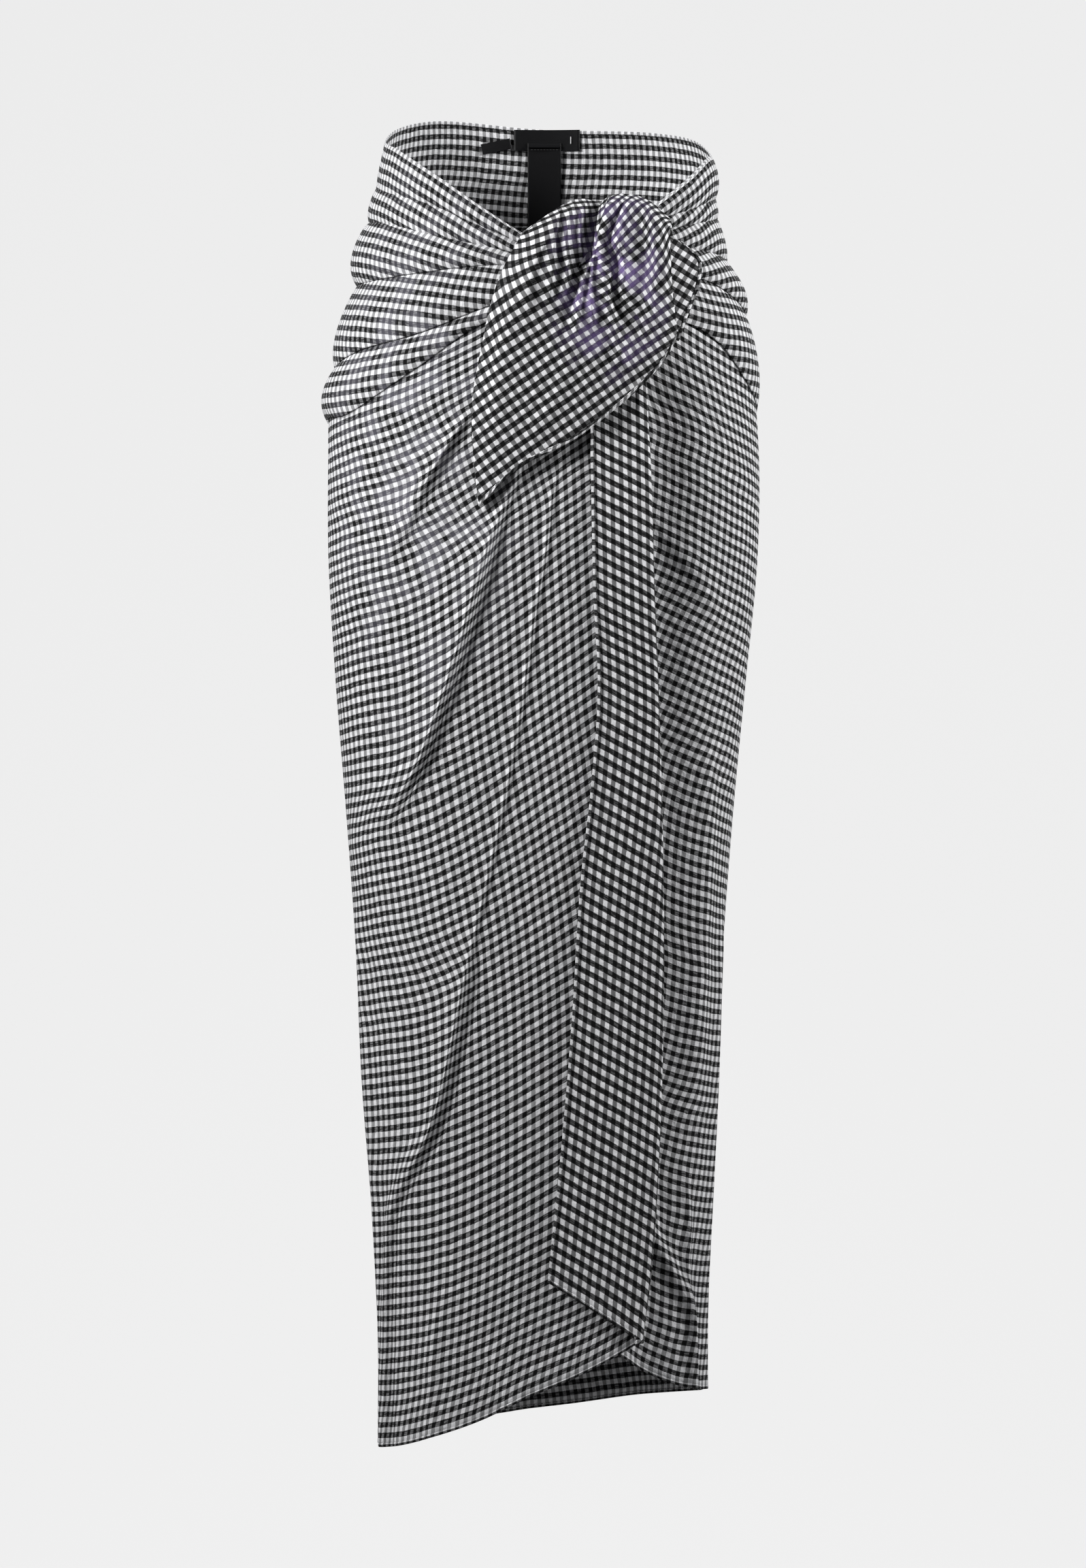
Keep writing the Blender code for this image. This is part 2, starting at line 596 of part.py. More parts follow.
def build():
    for old in list(bpy.data.objects):
        bpy.data.objects.remove(old)
    cloth = material("gingham_cloth", CLOTH_GREY, 0.85)
    cloth_reverse = material("gingham_cloth_reverse", CLOTH_GREY, 0.85)
    woven_black = material("woven_label", DARK, 0.5)
    rows = band_rows()
    side_gap = math.degrees(SEAM_GAP / 2 / SIDE_DEPTH)
    wound_panel("front_under", UNDER_START, RIGHT_SIDE - side_gap, UNDER_COLUMNS, rows, cloth)
    wound_panel("back", RIGHT_SIDE + side_gap, LEFT_SIDE - side_gap, BACK_COLUMNS, rows, cloth)
    over_panel(LEFT_SIDE + side_gap, rows, cloth)
    turned_edge(rows[rows >= len(SWELLS[0]) - 1], cloth_reverse)
    leaf(cloth_reverse)
    flap(cloth_reverse)
    knot(cloth_reverse)
    for name in LABELS:
        label(name, woven_black)


build()
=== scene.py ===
import math

import bpy
import numpy as np
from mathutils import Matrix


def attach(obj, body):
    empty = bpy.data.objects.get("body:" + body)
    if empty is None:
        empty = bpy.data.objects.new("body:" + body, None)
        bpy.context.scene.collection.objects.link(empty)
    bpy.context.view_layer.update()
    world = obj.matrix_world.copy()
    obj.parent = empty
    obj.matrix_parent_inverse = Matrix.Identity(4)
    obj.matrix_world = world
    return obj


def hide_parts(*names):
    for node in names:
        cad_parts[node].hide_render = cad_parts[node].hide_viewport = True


# A gingham sarong worn as a skirt and tied at the front. A place on the wound cloth is a turn
# in degrees from the front: 90 is the right side, 180 the back, 270 the left side, and 360 the
# front again, one layer further out.

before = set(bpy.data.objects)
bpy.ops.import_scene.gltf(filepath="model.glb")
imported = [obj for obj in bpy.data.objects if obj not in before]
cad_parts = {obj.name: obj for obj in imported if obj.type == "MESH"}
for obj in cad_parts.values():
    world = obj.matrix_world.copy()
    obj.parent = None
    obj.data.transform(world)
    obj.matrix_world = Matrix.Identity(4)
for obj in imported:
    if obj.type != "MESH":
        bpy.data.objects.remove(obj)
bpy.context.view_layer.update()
print("frame loaded")


# Figure under the cloth

figure = {
    # z, left, right, front, back
    "levels": (
        (0.040, 0.1160, 0.1180, 0.0850, 0.0820),
        (0.004, 0.1172, 0.1245, 0.0880, 0.0845),
        (-0.020, 0.1212, 0.1285, 0.0905, 0.0880),
        (-0.043, 0.1252, 0.1298, 0.0925, 0.0925),
        (-0.064, 0.1290, 0.1322, 0.0945, 0.0970),
        (-0.090, 0.1336, 0.1384, 0.0975, 0.1030),
        (-0.107, 0.1368, 0.1456, 0.0990, 0.1070),
        (-0.130, 0.1426, 0.1520, 0.1010, 0.1120),
        (-0.157, 0.1496, 0.1566, 0.1025, 0.1165),
        (-0.176, 0.1548, 0.1588, 0.1035, 0.1185),
        (-0.200, 0.1590, 0.1610, 0.1045, 0.1200),
        (-0.240, 0.1600, 0.1630, 0.1052, 0.1210),
        (-0.300, 0.1600, 0.1622, 0.1055, 0.1185),
        (-0.400, 0.1545, 0.1530, 0.1030, 0.1105),
        (-0.500, 0.1465, 0.1430, 0.1000, 0.1010),
        (-0.600, 0.1394, 0.1355, 0.0970, 0.0950),
        (-0.700, 0.1350, 0.1312, 0.0940, 0.0910),
        (-0.800, 0.1272, 0.1268, 0.0910, 0.0880),
        (-0.870, 0.1232, 0.1230, 0.0890, 0.0860),
        (-0.980, 0.1228, 0.1222, 0.0870, 0.0840),
    ),
}


def curveThrough(table, column, at):
    knots = np.array([row[0] for row in table], float)
    values = np.array([row[column] for row in table], float)
    order = np.argsort(knots)
    knots, values = knots[order], values[order]
    slopes = np.gradient(values, knots)
    at = np.clip(np.asarray(at, float), knots[0], knots[-1])
    i = np.clip(np.searchsorted(knots, at) - 1, 0, len(knots) - 2)
    step = knots[i + 1] - knots[i]
    t = (at - knots[i]) / step
    start = values[i] * (2 * t**3 - 3 * t**2 + 1) + slopes[i] * step * (t**3 - 2 * t**2 + t)
    end = values[i + 1] * (3 * t**2 - 2 * t**3) + slopes[i + 1] * step * (t**3 - t**2)
    return start + end


def smoothStep(low, high, value):
    t = np.clip((np.asarray(value, float) - low) / (high - low), 0, 1)
    return t * t * (3 - 2 * t)


def acrossFigure(z):
    left = curveThrough(figure["levels"], 1, z)
    right = curveThrough(figure["levels"], 2, z)
    return (right - left) / 2, (right + left) / 2


def figurePlace(turn, z):
    angle = np.radians(turn)
    middle, half = acrossFigure(z)
    share = 0.5 - 0.5 * np.cos(angle)
    front = curveThrough(figure["levels"], 3, z)
    depth = front * (1 - share) + curveThrough(figure["levels"], 4, z) * share
    out = np.stack([depth * np.sin(angle), -half * np.cos(angle), 0 * angle], axis=-1)
    out /= np.linalg.norm(out, axis=-1, keepdims=True)
    x = middle + half * np.sin(angle)
    return np.stack([x, -depth * np.cos(angle), z + 0 * angle], axis=-1), out


def onFront(x, z, standoff):
    middle, half = acrossFigure(z)
    turn = np.degrees(np.arcsin(np.clip((x - middle) / (half + standoff), -1, 1)))
    place, out = figurePlace(turn, z)
    return place + out * np.asarray(standoff)[..., None], out


# How the cloth is wound, gathered and folded

winding = {
    # Top edge, the five gathered creases and the hem, by turn.
    "edges": (
        (-24, -0.118, -0.124, -0.130, -0.137, -0.150, -0.170, -0.846),
        (12, -0.090, -0.096, -0.102, -0.109, -0.122, -0.142, -0.880),
        (32, -0.062, -0.069, -0.076, -0.085, -0.104, -0.135, -0.902),
        (55, -0.032, -0.054, -0.065, -0.083, -0.106, -0.151, -0.922),
        (72, -0.014, -0.045, -0.059, -0.085, -0.117, -0.179, -0.928),
        (90, -0.007, -0.039, -0.055, -0.088, -0.128, -0.198, -0.931),
        (112, 0.008, -0.034, -0.053, -0.092, -0.134, -0.210, -0.936),
        (135, 0.0165, -0.028, -0.052, -0.096, -0.140, -0.218, -0.941),
        (180, 0.022, -0.018, -0.050, -0.100, -0.150, -0.225, -0.955),
        (228, 0.025, -0.020, -0.050, -0.103, -0.160, -0.222, -0.966),
        (250, 0.016, -0.026, -0.051, -0.106, -0.166, -0.218, -0.970),
        (270, 0.004, -0.032, -0.058, -0.106, -0.168, -0.206, -0.971),
        (298, -0.009, -0.041, -0.063, -0.105, -0.157, -0.203, -0.969),
        (323, -0.033, -0.054, -0.075, -0.102, -0.147, -0.174, -0.957),
        (340, -0.056, -0.070, -0.084, -0.099, -0.132, -0.144, -0.944),
        (354, -0.076, -0.084, -0.092, -0.100, -0.119, -0.131, -0.929),
        (372, -0.095, -0.102, -0.108, -0.114, -0.126, -0.142, -0.912),
        (398, -0.128, -0.136, -0.143, -0.149, -0.158, -0.172, -0.884),
    ),
    # How far each band swells out between its creases, by turn.
    "swells": (
        (-24, 0.0000, 0.0000, 0.0000, 0.0000, 0.0000),
        (20, 0.0006, 0.0008, 0.0010, 0.0010, 0.0008),
        (34, 0.0026, 0.0024, 0.0026, 0.0028, 0.0024),
        (55, 0.0036, 0.0030, 0.0036, 0.0044, 0.0034),
        (90, 0.0036, 0.0018, 0.0038, 0.0060, 0.0050),
        (135, 0.0010, 0.0012, 0.0022, 0.0030, 0.0024),
        (180, 0.0000, 0.0004, 0.0008, 0.0010, 0.0008),
        (235, 0.0006, 0.0014, 0.0044, 0.0040, 0.0034),
        (262, 0.0008, 0.0034, 0.0096, 0.0084, 0.0078),
        (276, 0.0010, 0.0036, 0.0096, 0.0080, 0.0074),
        (298, 0.0020, 0.0034, 0.0064, 0.0060, 0.0046),
        (323, 0.0030, 0.0034, 0.0044, 0.0052, 0.0032),
        (340, 0.0030, 0.0032, 0.0036, 0.0046, 0.0028),
        (354, 0.0022, 0.0024, 0.0026, 0.0034, 0.0022),
        (366, 0.0000, 0.0000, 0.0000, 0.0000, 0.0000),
        (398, 0.0000, 0.0000, 0.0000, 0.0000, 0.0000),
    ),
    # How far each band's lower edge stands over the next band, by turn.
    "lips": (
        (-24, 0.0000, 0.0000, 0.0000, 0.0000, 0.0000),
        (22, 0.0004, 0.0003, 0.0003, 0.0003, 0.0003),
        (40, 0.0014, 0.0011, 0.0010, 0.0012, 0.0012),
        (62, 0.0014, 0.0012, 0.0012, 0.0016, 0.0010),
        (90, 0.0009, 0.0007, 0.0012, 0.0014, 0.0003),
        (118, 0.0003, 0.0003, 0.0005, 0.0006, 0.0000),
        (200, 0.0000, 0.0000, 0.0000, 0.0000, 0.0000),
        (245, 0.0002, 0.0004, 0.0005, 0.0008, 0.0000),
        (272, 0.0008, 0.0012, 0.0016, 0.0024, 0.0002),
        (300, 0.0009, 0.0014, 0.0026, 0.0027, 0.0004),
        (323, 0.0006, 0.0012, 0.0026, 0.0024, 0.0008),
        (344, 0.0004, 0.0010, 0.0022, 0.0020, 0.0010),
        (362, 0.0002, 0.0004, 0.0006, 0.0006, 0.0004),
        (398, 0.0000, 0.0000, 0.0000, 0.0000, 0.0000),
    ),
    # How steeply the checks rise to the right on the cloth's body, by turn.
    "rowRise": (
        (270, 0.26),
        (292, 0.32),
        (310, 0.24),
        (325, 0.42),
        (338, 0.56),
        (350, 0.63),
        (398, 0.63),
    ),
    "underRise": 0.012,
    "hipHalf": 0.150,
    "clothHeight": 1.0023,
    "tuckShares": (0.03, 0.20, 0.22, 0.37, 0.18),  # of the cloth hidden in the creases
    "overLift": 0.0023,
    "foldLift": 0.0070,
    "thickness": 0.0005,
    "bandRows": 18,
    "bodyRows": 146,
}


def crease(height, left, right, *line, gathers=0.0, crisp=False):
    return {"height": height, "left": left, "right": right, "line": line, "gathers": gathers, "crisp": crisp}


# Folds that run down the cloth: height, how far it runs out to its left and to its right, seen
# from outside, and a line of places from the top down. In the front lists a place is x and z,
# and in roundCreases a turn and z. Crisp ones come to a narrow crest, and what a crease gathers
# is cloth that is drawn up along its right side.
overCreases = (
    crease(0.0042, 0.0036, 0.0018, (-0.0105, -0.223), (-0.0179, -0.2514), (-0.0349, -0.2982),
           (-0.0493, -0.348), (-0.0632, -0.3973), (-0.0737, -0.4292), (-0.0862, -0.4641),
           (-0.1006, -0.4909), gathers=0.006, crisp=True),
    crease(0.0062, 0.022, 0.004, (-0.0255, -0.27), (-0.0349, -0.294), (-0.0493, -0.344),
           (-0.0632, -0.393), (-0.0737, -0.425), (-0.0862, -0.46), (-0.1006, -0.487), (-0.117, -0.514),
           gathers=0.015),
    crease(0.003, 0.0024, 0.0018, (-0.053, -0.38), (-0.066, -0.42), (-0.079, -0.456), (-0.093, -0.486),
           (-0.108, -0.511), crisp=True),
    crease(0.0032, 0.0017, 0.0011, (0.0159, -0.2355), (0.009, -0.2604), (0.0025, -0.3097),
           (-0.0035, -0.344), (-0.011, -0.3973), (-0.0179, -0.4436), (-0.0279, -0.4954),
           (-0.0383, -0.5467), (-0.0468, -0.5841), (-0.0548, -0.6254), (-0.0642, -0.6752),
           (-0.0732, -0.716), (-0.0827, -0.7429), (-0.0961, -0.7658), gathers=0.0036, crisp=True),
    crease(0.0054, 0.011, 0.0042, (-0.0468, -0.5841), (-0.0642, -0.6752), (-0.0732, -0.716),
           (-0.0827, -0.7429), (-0.0961, -0.7658), (-0.1066, -0.7888), (-0.1111, -0.8286),
           (-0.113, -0.8669), gathers=0.01),
    crease(0.0036, 0.01, 0.003, (-0.0438, -0.2031), (-0.0573, -0.2186), (-0.0727, -0.2449),
           (-0.0886, -0.2718), (-0.0996, -0.2942), (-0.1175, -0.3171), gathers=0.007),
    crease(0.0034, 0.0026, 0.0015, (-0.0438, -0.199), (-0.056, -0.214), (-0.07, -0.237),
           (-0.085, -0.263), gathers=0.003, crisp=True),
    crease(0.003, 0.0028, 0.006, (-0.04, -0.89), (-0.0349, -0.9028), (-0.0234, -0.9337)),
    crease(0.0024, 0.008, 0.006, (-0.07, -0.85), (-0.078, -0.89), (-0.08, -0.93), (-0.079, -0.964)),
)
underCreases = (
    # The cloth sinks beside the fold, and stands out again further on.
    crease(-0.012, 0.016, 0.025, (0.084, -0.16), (0.088, -0.34), (0.09, -0.44), (0.0915, -0.56),
           (0.0905, -0.7), (0.086, -0.82), (0.079, -0.885)),
    crease(0.0022, 0.006, 0.014, (0.079, -0.19), (0.085, -0.25), (0.0903, -0.2884), (0.1053, -0.3093),
           (0.118, -0.3323), (0.129, -0.365), gathers=0.0015),
    crease(0.0056, 0.0045, 0.008, (0.072, -0.7), (0.0776, -0.749), (0.0803, -0.7834), (0.0871, -0.8103),
           (0.0986, -0.8388), (0.1063, -0.8597), (0.109, -0.9), gathers=0.007),
    crease(0.0024, 0.003, 0.004, (0.1075, -0.76), (0.11, -0.8), (0.108, -0.85), (0.1105, -0.9),
           (0.111, -0.928), gathers=0.006),
    crease(0.003, 0.011, 0.012, (0.122, -0.43), (0.123, -0.52), (0.118, -0.62), (0.113, -0.72)),
)
roundCreases = (
    crease(0.0046, 0.02, 0.011, (108, -0.29), (105, -0.48), (107, -0.7), (112, -0.938)),
    crease(0.0036, 0.006, 0.015, (126, -0.24), (130, -0.33), (137, -0.45), (141, -0.56)),
    crease(0.0062, 0.015, 0.023, (150, -0.36), (153, -0.56), (148, -0.76), (146, -0.945)),
    crease(0.003, 0.01, 0.0045, (171, -0.235), (169, -0.3), (175, -0.42), (186, -0.54)),
    crease(0.0052, 0.024, 0.014, (186, -0.42), (181, -0.6), (178, -0.8), (184, -0.955)),
    crease(0.003, 0.005, 0.012, (208, -0.235), (212, -0.33), (220, -0.45)),
    crease(0.0058, 0.013, 0.022, (224, -0.33), (216, -0.52), (214, -0.74), (221, -0.962)),
    crease(0.0026, 0.004, 0.01, (250, -0.25), (246, -0.3), (238, -0.38), (232, -0.44)),
    crease(0.0042, 0.019, 0.012, (256, -0.42), (252, -0.6), (255, -0.8), (250, -0.966)),
    crease(0.0026, 0.011, 0.009, (78, -0.56), (82, -0.7), (80, -0.82), (86, -0.93)),
    crease(0.0028, 0.012, 0.009, (283, -0.56), (287, -0.7), (284, -0.86), (288, -0.966)),
)

foldedEdge = {
    # z, x of the fold, x of the cloth's own edge
    "line": (
        (-0.100, 0.0690, 0.0330),
        (-0.190, 0.0746, 0.0352),
        (-0.253, 0.0780, 0.0362),
        (-0.342, 0.0806, 0.0382),
        (-0.408, 0.0834, 0.0412),
        (-0.475, 0.0856, 0.0368),
        (-0.541, 0.0870, 0.0295),
        (-0.662, 0.0870, 0.0215),
        (-0.729, 0.0850, 0.0160),
        (-0.796, 0.0816, 0.0095),
        (-0.840, 0.0780, 0.0048),
        (-0.885, 0.0722, 0.0010),
    ),
    "hemRise": 0.0460,
    "radius": 0.0026,
}

# Sizes of one check of the gingham.
gingham = {"across": 0.0065, "down": 0.0078}


# How creases fall off to their sides, begin and end, and draw the cloth and the grid together.
creaseForm = {
    "crispPower": 1.35,
    "softPower": 2,
    "longestEnd": 0.05,
    "endShare": 0.35,
    "lowestEnd": -0.80,  # what reaches below this runs out at the hem
    "roundShare": 0.9,  # of the half width, for lengths round the figure
    "figureRadius": 0.13,
    "gatherBand": 1.6,
    "gatherReach": 0.16,
    "stepReach": 0.06,
    "crispColumns": 2.6,
    "softColumns": 1.3,
    "columnReach": 2.2,
    "columnSpread": 0.0012,
}


def creaseProfile(away, crease):
    share = np.abs(away) / np.where(away < 0, crease["left"], crease["right"])
    return np.exp(-(share ** creaseForm["crispPower" if crease["crisp"] else "softPower"]))


def creaseEnds(line, z):
    top, end = max(place[1] for place in line), min(place[1] for place in line)
    reach = min(creaseForm["longestEnd"], creaseForm["endShare"] * (top - end))
    shown = smoothStep(top + 0.004, top + 0.004 - reach, z)
    if end > creaseForm["lowestEnd"]:
        shown = shown * smoothStep(end - 0.01, end - 0.01 + reach, z)
    return shown


def windingCreases(turn, z):
    # Every crease, with how far each place lies to the right of its line and how it leans.
    middle, half = acrossFigure(z)
    for creases, layer in ((overCreases, 360), (underCreases, 0), (roundCreases, None)):
        for crease in creases:
            line = [(place[1], place[0]) for place in crease["line"]]
            centre = curveThrough(line, 1, z)
            if layer is not None:
                centre = layer + np.degrees(np.arcsin(np.clip((centre - middle) / half, -1, 1)))
            drift = curveThrough(line, 1, z + 0.005) - curveThrough(line, 1, z - 0.005)
            toLength = 1.0 if layer is not None else math.radians(1) * creaseForm["figureRadius"]
            lean = drift / 0.010 * toLength
            away = np.radians(turn - centre) * creaseForm["roundShare"] * half / np.sqrt(1 + lean**2)
            yield crease, away, lean, creaseEnds(crease["line"], z)


def foldLifts(turn, z):
    lift = np.zeros(np.broadcast(turn, z).shape)
    for crease, away, lean, shown in windingCreases(turn, z):
        lift = lift + crease["height"] * shown * creaseProfile(away, crease)
    return lift


def gatheredCloth(turn, z):
    # Cloth drawn up at the creases: how much lies to the left, and how far rows step across.
    aside, stepped = 0 * turn, 0 * turn
    for crease, away, lean, shown in windingCreases(turn, z):
        if crease["gathers"]:
            band = creaseForm["gatherBand"] * crease["right"]
            passed = smoothStep(-0.3 * band, 1.7 * band, away)
            upright = 1 / np.sqrt(1 + lean**2)
            drawn = crease["gathers"] * shown * upright
            eased = np.exp(np.minimum(away, 0) / creaseForm["gatherReach"])
            near = np.exp(-((away / creaseForm["stepReach"]) ** 2))
            aside = aside + drawn * (1 - passed) * eased
            stepped = stepped + drawn * np.clip(lean, -1, 1) * (passed - 0.5) * near
    return aside, stepped


def gatherColumns(turns, columns):
    # More of the grid's columns go where a crease turns sharply.
    fine = turns[:, :1] + (turns[:, -1:] - turns[:, :1]) * np.linspace(0, 1, 500)
    z = woundPlaces(fine, rows)[0][..., 2]
    weight = np.ones(fine.shape)
    for crease, away, lean, shown in windingCreases(fine, z):
        near = creaseForm["columnReach"] * min(crease["left"], crease["right"]) + creaseForm["columnSpread"]
        pull = creaseForm["crispColumns" if crease["crisp"] else "softColumns"]
        weight = weight + pull * shown * np.exp(-((away / near) ** 2))
    steps = (weight[:, 1:] + weight[:, :-1]) / 2
    total = np.concatenate([0 * weight[:, :1], np.cumsum(steps, axis=1)], axis=1)
    total /= total[:, -1:]
    shares = np.linspace(0, 1, columns + 1)
    return np.stack([np.interp(shares, reached, line) for reached, line in zip(total, fine)])


def overLift(turn):
    start = winding["overLift"] * smoothStep(290, 334, turn)
    return start + (winding["foldLift"] - winding["overLift"]) * smoothStep(334, 392, turn)


def hiddenCloth(turn):
    top = curveThrough(winding["edges"], 1, turn)
    hem = curveThrough(winding["edges"], 7, turn)
    return winding["clothHeight"] - (top - hem)


def rowRise(turn, z, aboveHem):
    # The checks follow the hem, and rise more steeply over the front higher up.
    fine = np.linspace(270, 398, 300)
    slopes = curveThrough(winding["rowRise"], 1, fine) * winding["hipHalf"] * np.cos(np.radians(fine))
    steps = np.cumsum((slopes[1:] + slopes[:-1]) / 2) * np.radians(fine[1] - fine[0])
    risen = np.concatenate([[0], steps])
    hem = curveThrough(winding["edges"], 7, fine)
    slimmed = (acrossFigure(z)[1] / winding["hipHalf"]) ** 2
    more = np.interp(turn, fine, risen) * slimmed - np.interp(turn, fine, hem - hem[0])
    under = winding["underRise"] * smoothStep(95, 25, turn) * smoothStep(0.25, 0.60, aboveHem)
    return np.where(turn > 180, more * smoothStep(0, 0.16, aboveHem), under)


def clothRows():
    shares = np.linspace(0, 1, winding["bandRows"])
    shares = shares - 0.10 * np.sin(2 * np.pi * shares)
    body = np.linspace(0, 1, winding["bodyRows"] + 1) ** 1.12
    bands = [(band, share) for band in range(5) for share in shares]
    return bands + [(5, share) for share in body]


def woundPlaces(turns, rows):
    # Places, ways out and lengths down the cloth, for turns on a grid with one row per cloth row.
    lines = [curveThrough(winding["edges"], column, turns) for column in range(1, 8)]
    band = np.array([row[0] for row in rows])[:, None]
    share = np.array([row[1] for row in rows])[:, None] + 0 * turns
    pick = lambda table: np.take_along_axis(table, band[None] + 0 * turns.astype(int)[None], axis=0)[0]
    upper, lower = pick(np.stack(lines[:6])), pick(np.stack(lines[1:]))
    lips = [np.clip(curveThrough(winding["lips"], column, turns), 0, None) for column in range(1, 6)]
    above = pick(np.stack([0 * turns] + lips))
    below = pick(np.stack(lips + [0 * turns]))
    lap = np.clip(above * 0.9, 0, 0.4 * (upper - lower))
    z = upper + lap + (lower - upper - lap) * share
    swells = [np.clip(curveThrough(winding["swells"], column, turns), 0, None) for column in range(1, 6)]
    swell = pick(np.stack(swells + [0 * turns]))
    rise = share**0.5 * (1 - share**3) * 1.613
    lift = swell * rise + below * share**2 + overLift(turns) + foldLifts(turns, z)
    tucks = np.cumsum((0,) + winding["tuckShares"])[band] * hiddenCloth(turns)
    down = lines[0] - z + tucks + np.where(band == 5, rowRise(turns, z, z - lines[6]), 0)
    place, out = figurePlace(turns, z)
    return place + out * lift[..., None], out, down


def foldTurn(z, column=1):
    middle, half = acrossFigure(z)
    x = curveThrough(foldedEdge["line"], column, z) - middle
    return 360 + np.degrees(np.arcsin(x / (half + winding["foldLift"])))


def lengthsAlong(places):
    flat = np.diff(places[..., :2], axis=1)
    return np.concatenate([0 * places[:, :1, 0], np.cumsum(np.linalg.norm(flat, axis=-1), axis=1)], axis=1)


# A sheet of cloth from a grid of places, listed from the top row down. Its face looks the way
# that turns the columns left to right.

def clothSheet(name, places, cloth, finish, thickness):
    rows, columns = places.shape[:2]
    bpy.ops.object.select_all(action="DESELECT")
    bpy.ops.mesh.primitive_grid_add(x_subdivisions=columns - 1, y_subdivisions=rows - 1, size=1)
    piece = bpy.context.object
    piece.name = piece.data.name = name
    piece.data.vertices.foreach_set("co", places[::-1].reshape(-1).astype(np.float32))
    uvs = piece.data.uv_layers[0]
    uvs.name = "cloth"
    corners = np.empty(len(piece.data.loops), dtype=np.int32)
    piece.data.loops.foreach_get("vertex_index", corners)
    checks = cloth[::-1].reshape(-1, 2) / (gingham["across"], gingham["down"])
    uvs.data.foreach_set("uv", checks[corners].reshape(-1).astype(np.float32))
    piece.data.update()
    piece.data.materials.append(finish)
    bpy.ops.object.shade_smooth()
    if thickness:
        shell = piece.modifiers.new("shell", "SOLIDIFY")
        shell.thickness = thickness
        shell.offset = -1
        bpy.ops.object.modifier_apply(modifier="shell")
    return piece


# Nodes

def addNode(tree, kind, place, **settings):
    node = tree.nodes.new(kind)
    node.location = place
    for setting, value in settings.items():
        setattr(node, setting, value)
    return node


def setInputs(node, values):
    for name, value in values.items():
        node.inputs[name].default_value = value


def feed(tree, socket, value):
    if isinstance(value, (int, float, tuple)):
        socket.default_value = value
    else:
        tree.links.new(value, socket)


def mathNode(tree, operation, place, *values):
    node = addNode(tree, "ShaderNodeMath", place, operation=operation)
    for socket, value in zip(node.inputs, values):
        feed(tree, socket, value)
    return node.outputs[0]


def vectorNode(tree, operation, place, first, second):
    node = addNode(tree, "ShaderNodeVectorMath", place, operation=operation)
    feed(tree, node.inputs[0], first)
    feed(tree, node.inputs["Scale" if operation == "SCALE" else 1], second)
    return node.outputs[0]


def rangeNode(tree, place, value, fromLow, fromHigh, toLow=0.0, toHigh=1.0):
    node = addNode(tree, "ShaderNodeMapRange", place, interpolation_type="SMOOTHSTEP")
    tree.links.new(value, node.inputs["Value"])
    setInputs(node, {"From Min": fromLow, "From Max": fromHigh, "To Min": toLow, "To Max": toHigh})
    return node.outputs["Result"]


def noiseNode(tree, place, vector, scale, detail=2.0):
    node = addNode(tree, "ShaderNodeTexNoise", place)
    tree.links.new(vector, node.inputs["Vector"])
    setInputs(node, {"Scale": scale, "Detail": detail})
    return node.outputs


def mixColour(tree, place, factor, first, second, blend="MIX"):
    node = addNode(tree, "ShaderNodeMix", place, data_type="RGBA", blend_type=blend)
    for index, value in ((0, factor), (6, first), (7, second)):
        feed(tree, node.inputs[index], value)
    return node.outputs[2]


def bumpFrom(tree, shader, place, height, strength, distance):
    bump = addNode(tree, "ShaderNodeBump", place)
    setInputs(bump, {"Strength": strength, "Distance": distance})
    tree.links.new(height, bump.inputs["Height"])
    tree.links.new(bump.outputs["Normal"], shader.inputs["Normal"])


def newMaterial(name):
    made = bpy.data.materials.new(name)
    made.use_nodes = True
    return made, made.node_tree, made.node_tree.nodes["Principled BSDF"]


def fleckedMaterial(name, scale, dark, light, roughness):
    made, tree, shader = newMaterial(name)
    spot = addNode(tree, "ShaderNodeTexCoord", (-900, 0))
    flecks = noiseNode(tree, (-650, 0), spot.outputs["Object"], scale)["Fac"]
    tree.links.new(mixColour(tree, (-350, 100), flecks, dark, light), shader.inputs["Base Color"])
    shader.inputs["Roughness"].default_value = roughness
    return made, tree, shader


# Gingham cloth

clothTones = ("Both Dark", "Dark Row", "Light Row", "Both Light")
clothLooks = {
    # The tones are for a check whose yarns are both dark, a dark row, a light row, and both light.
    "ginghamFaceLitThrough": {
        # The half-tones are lighter with painted light: the pale figure showing through the thin cloth.
        "tones": (0.008, 0.205, 0.275, 0.80),
        "rowStreaks": 0.78,
        "columnStreaks": 0.10,
        "waver": 0.042,
        # Painted sheen: a faint pale haze over the left front, high up.
        "paintedSheenPlace": (0.95, 1.0, 0.80),
        "paintedSheenSpread": (8.6, 9.0, 3.7),
        "paintedSheenAmount": 0.80,
        "paintedSheenColour": (0.17, 0.165, 0.20, 1),
    },
    "ginghamReverseShadedThrough": {
        # The reverse side is real; its half-tones are darker with painted shade from the cloth layers under
        # it showing through.
        "tones": (0.007, 0.095, 0.170, 0.84),
        "rowStreaks": 0.85,
        "columnStreaks": 0.05,
        "waver": 0.038,
        # Painted sheen: a violet haze over the knot and the leaf.
        "paintedSheenPlace": (-0.95, 2.2, 1.40),
        "paintedSheenSpread": (19.0, 18.0, 12.5),
        "paintedSheenAmount": 0.85,
        "paintedSheenColour": (0.25, 0.17, 0.42, 1),
    },
}


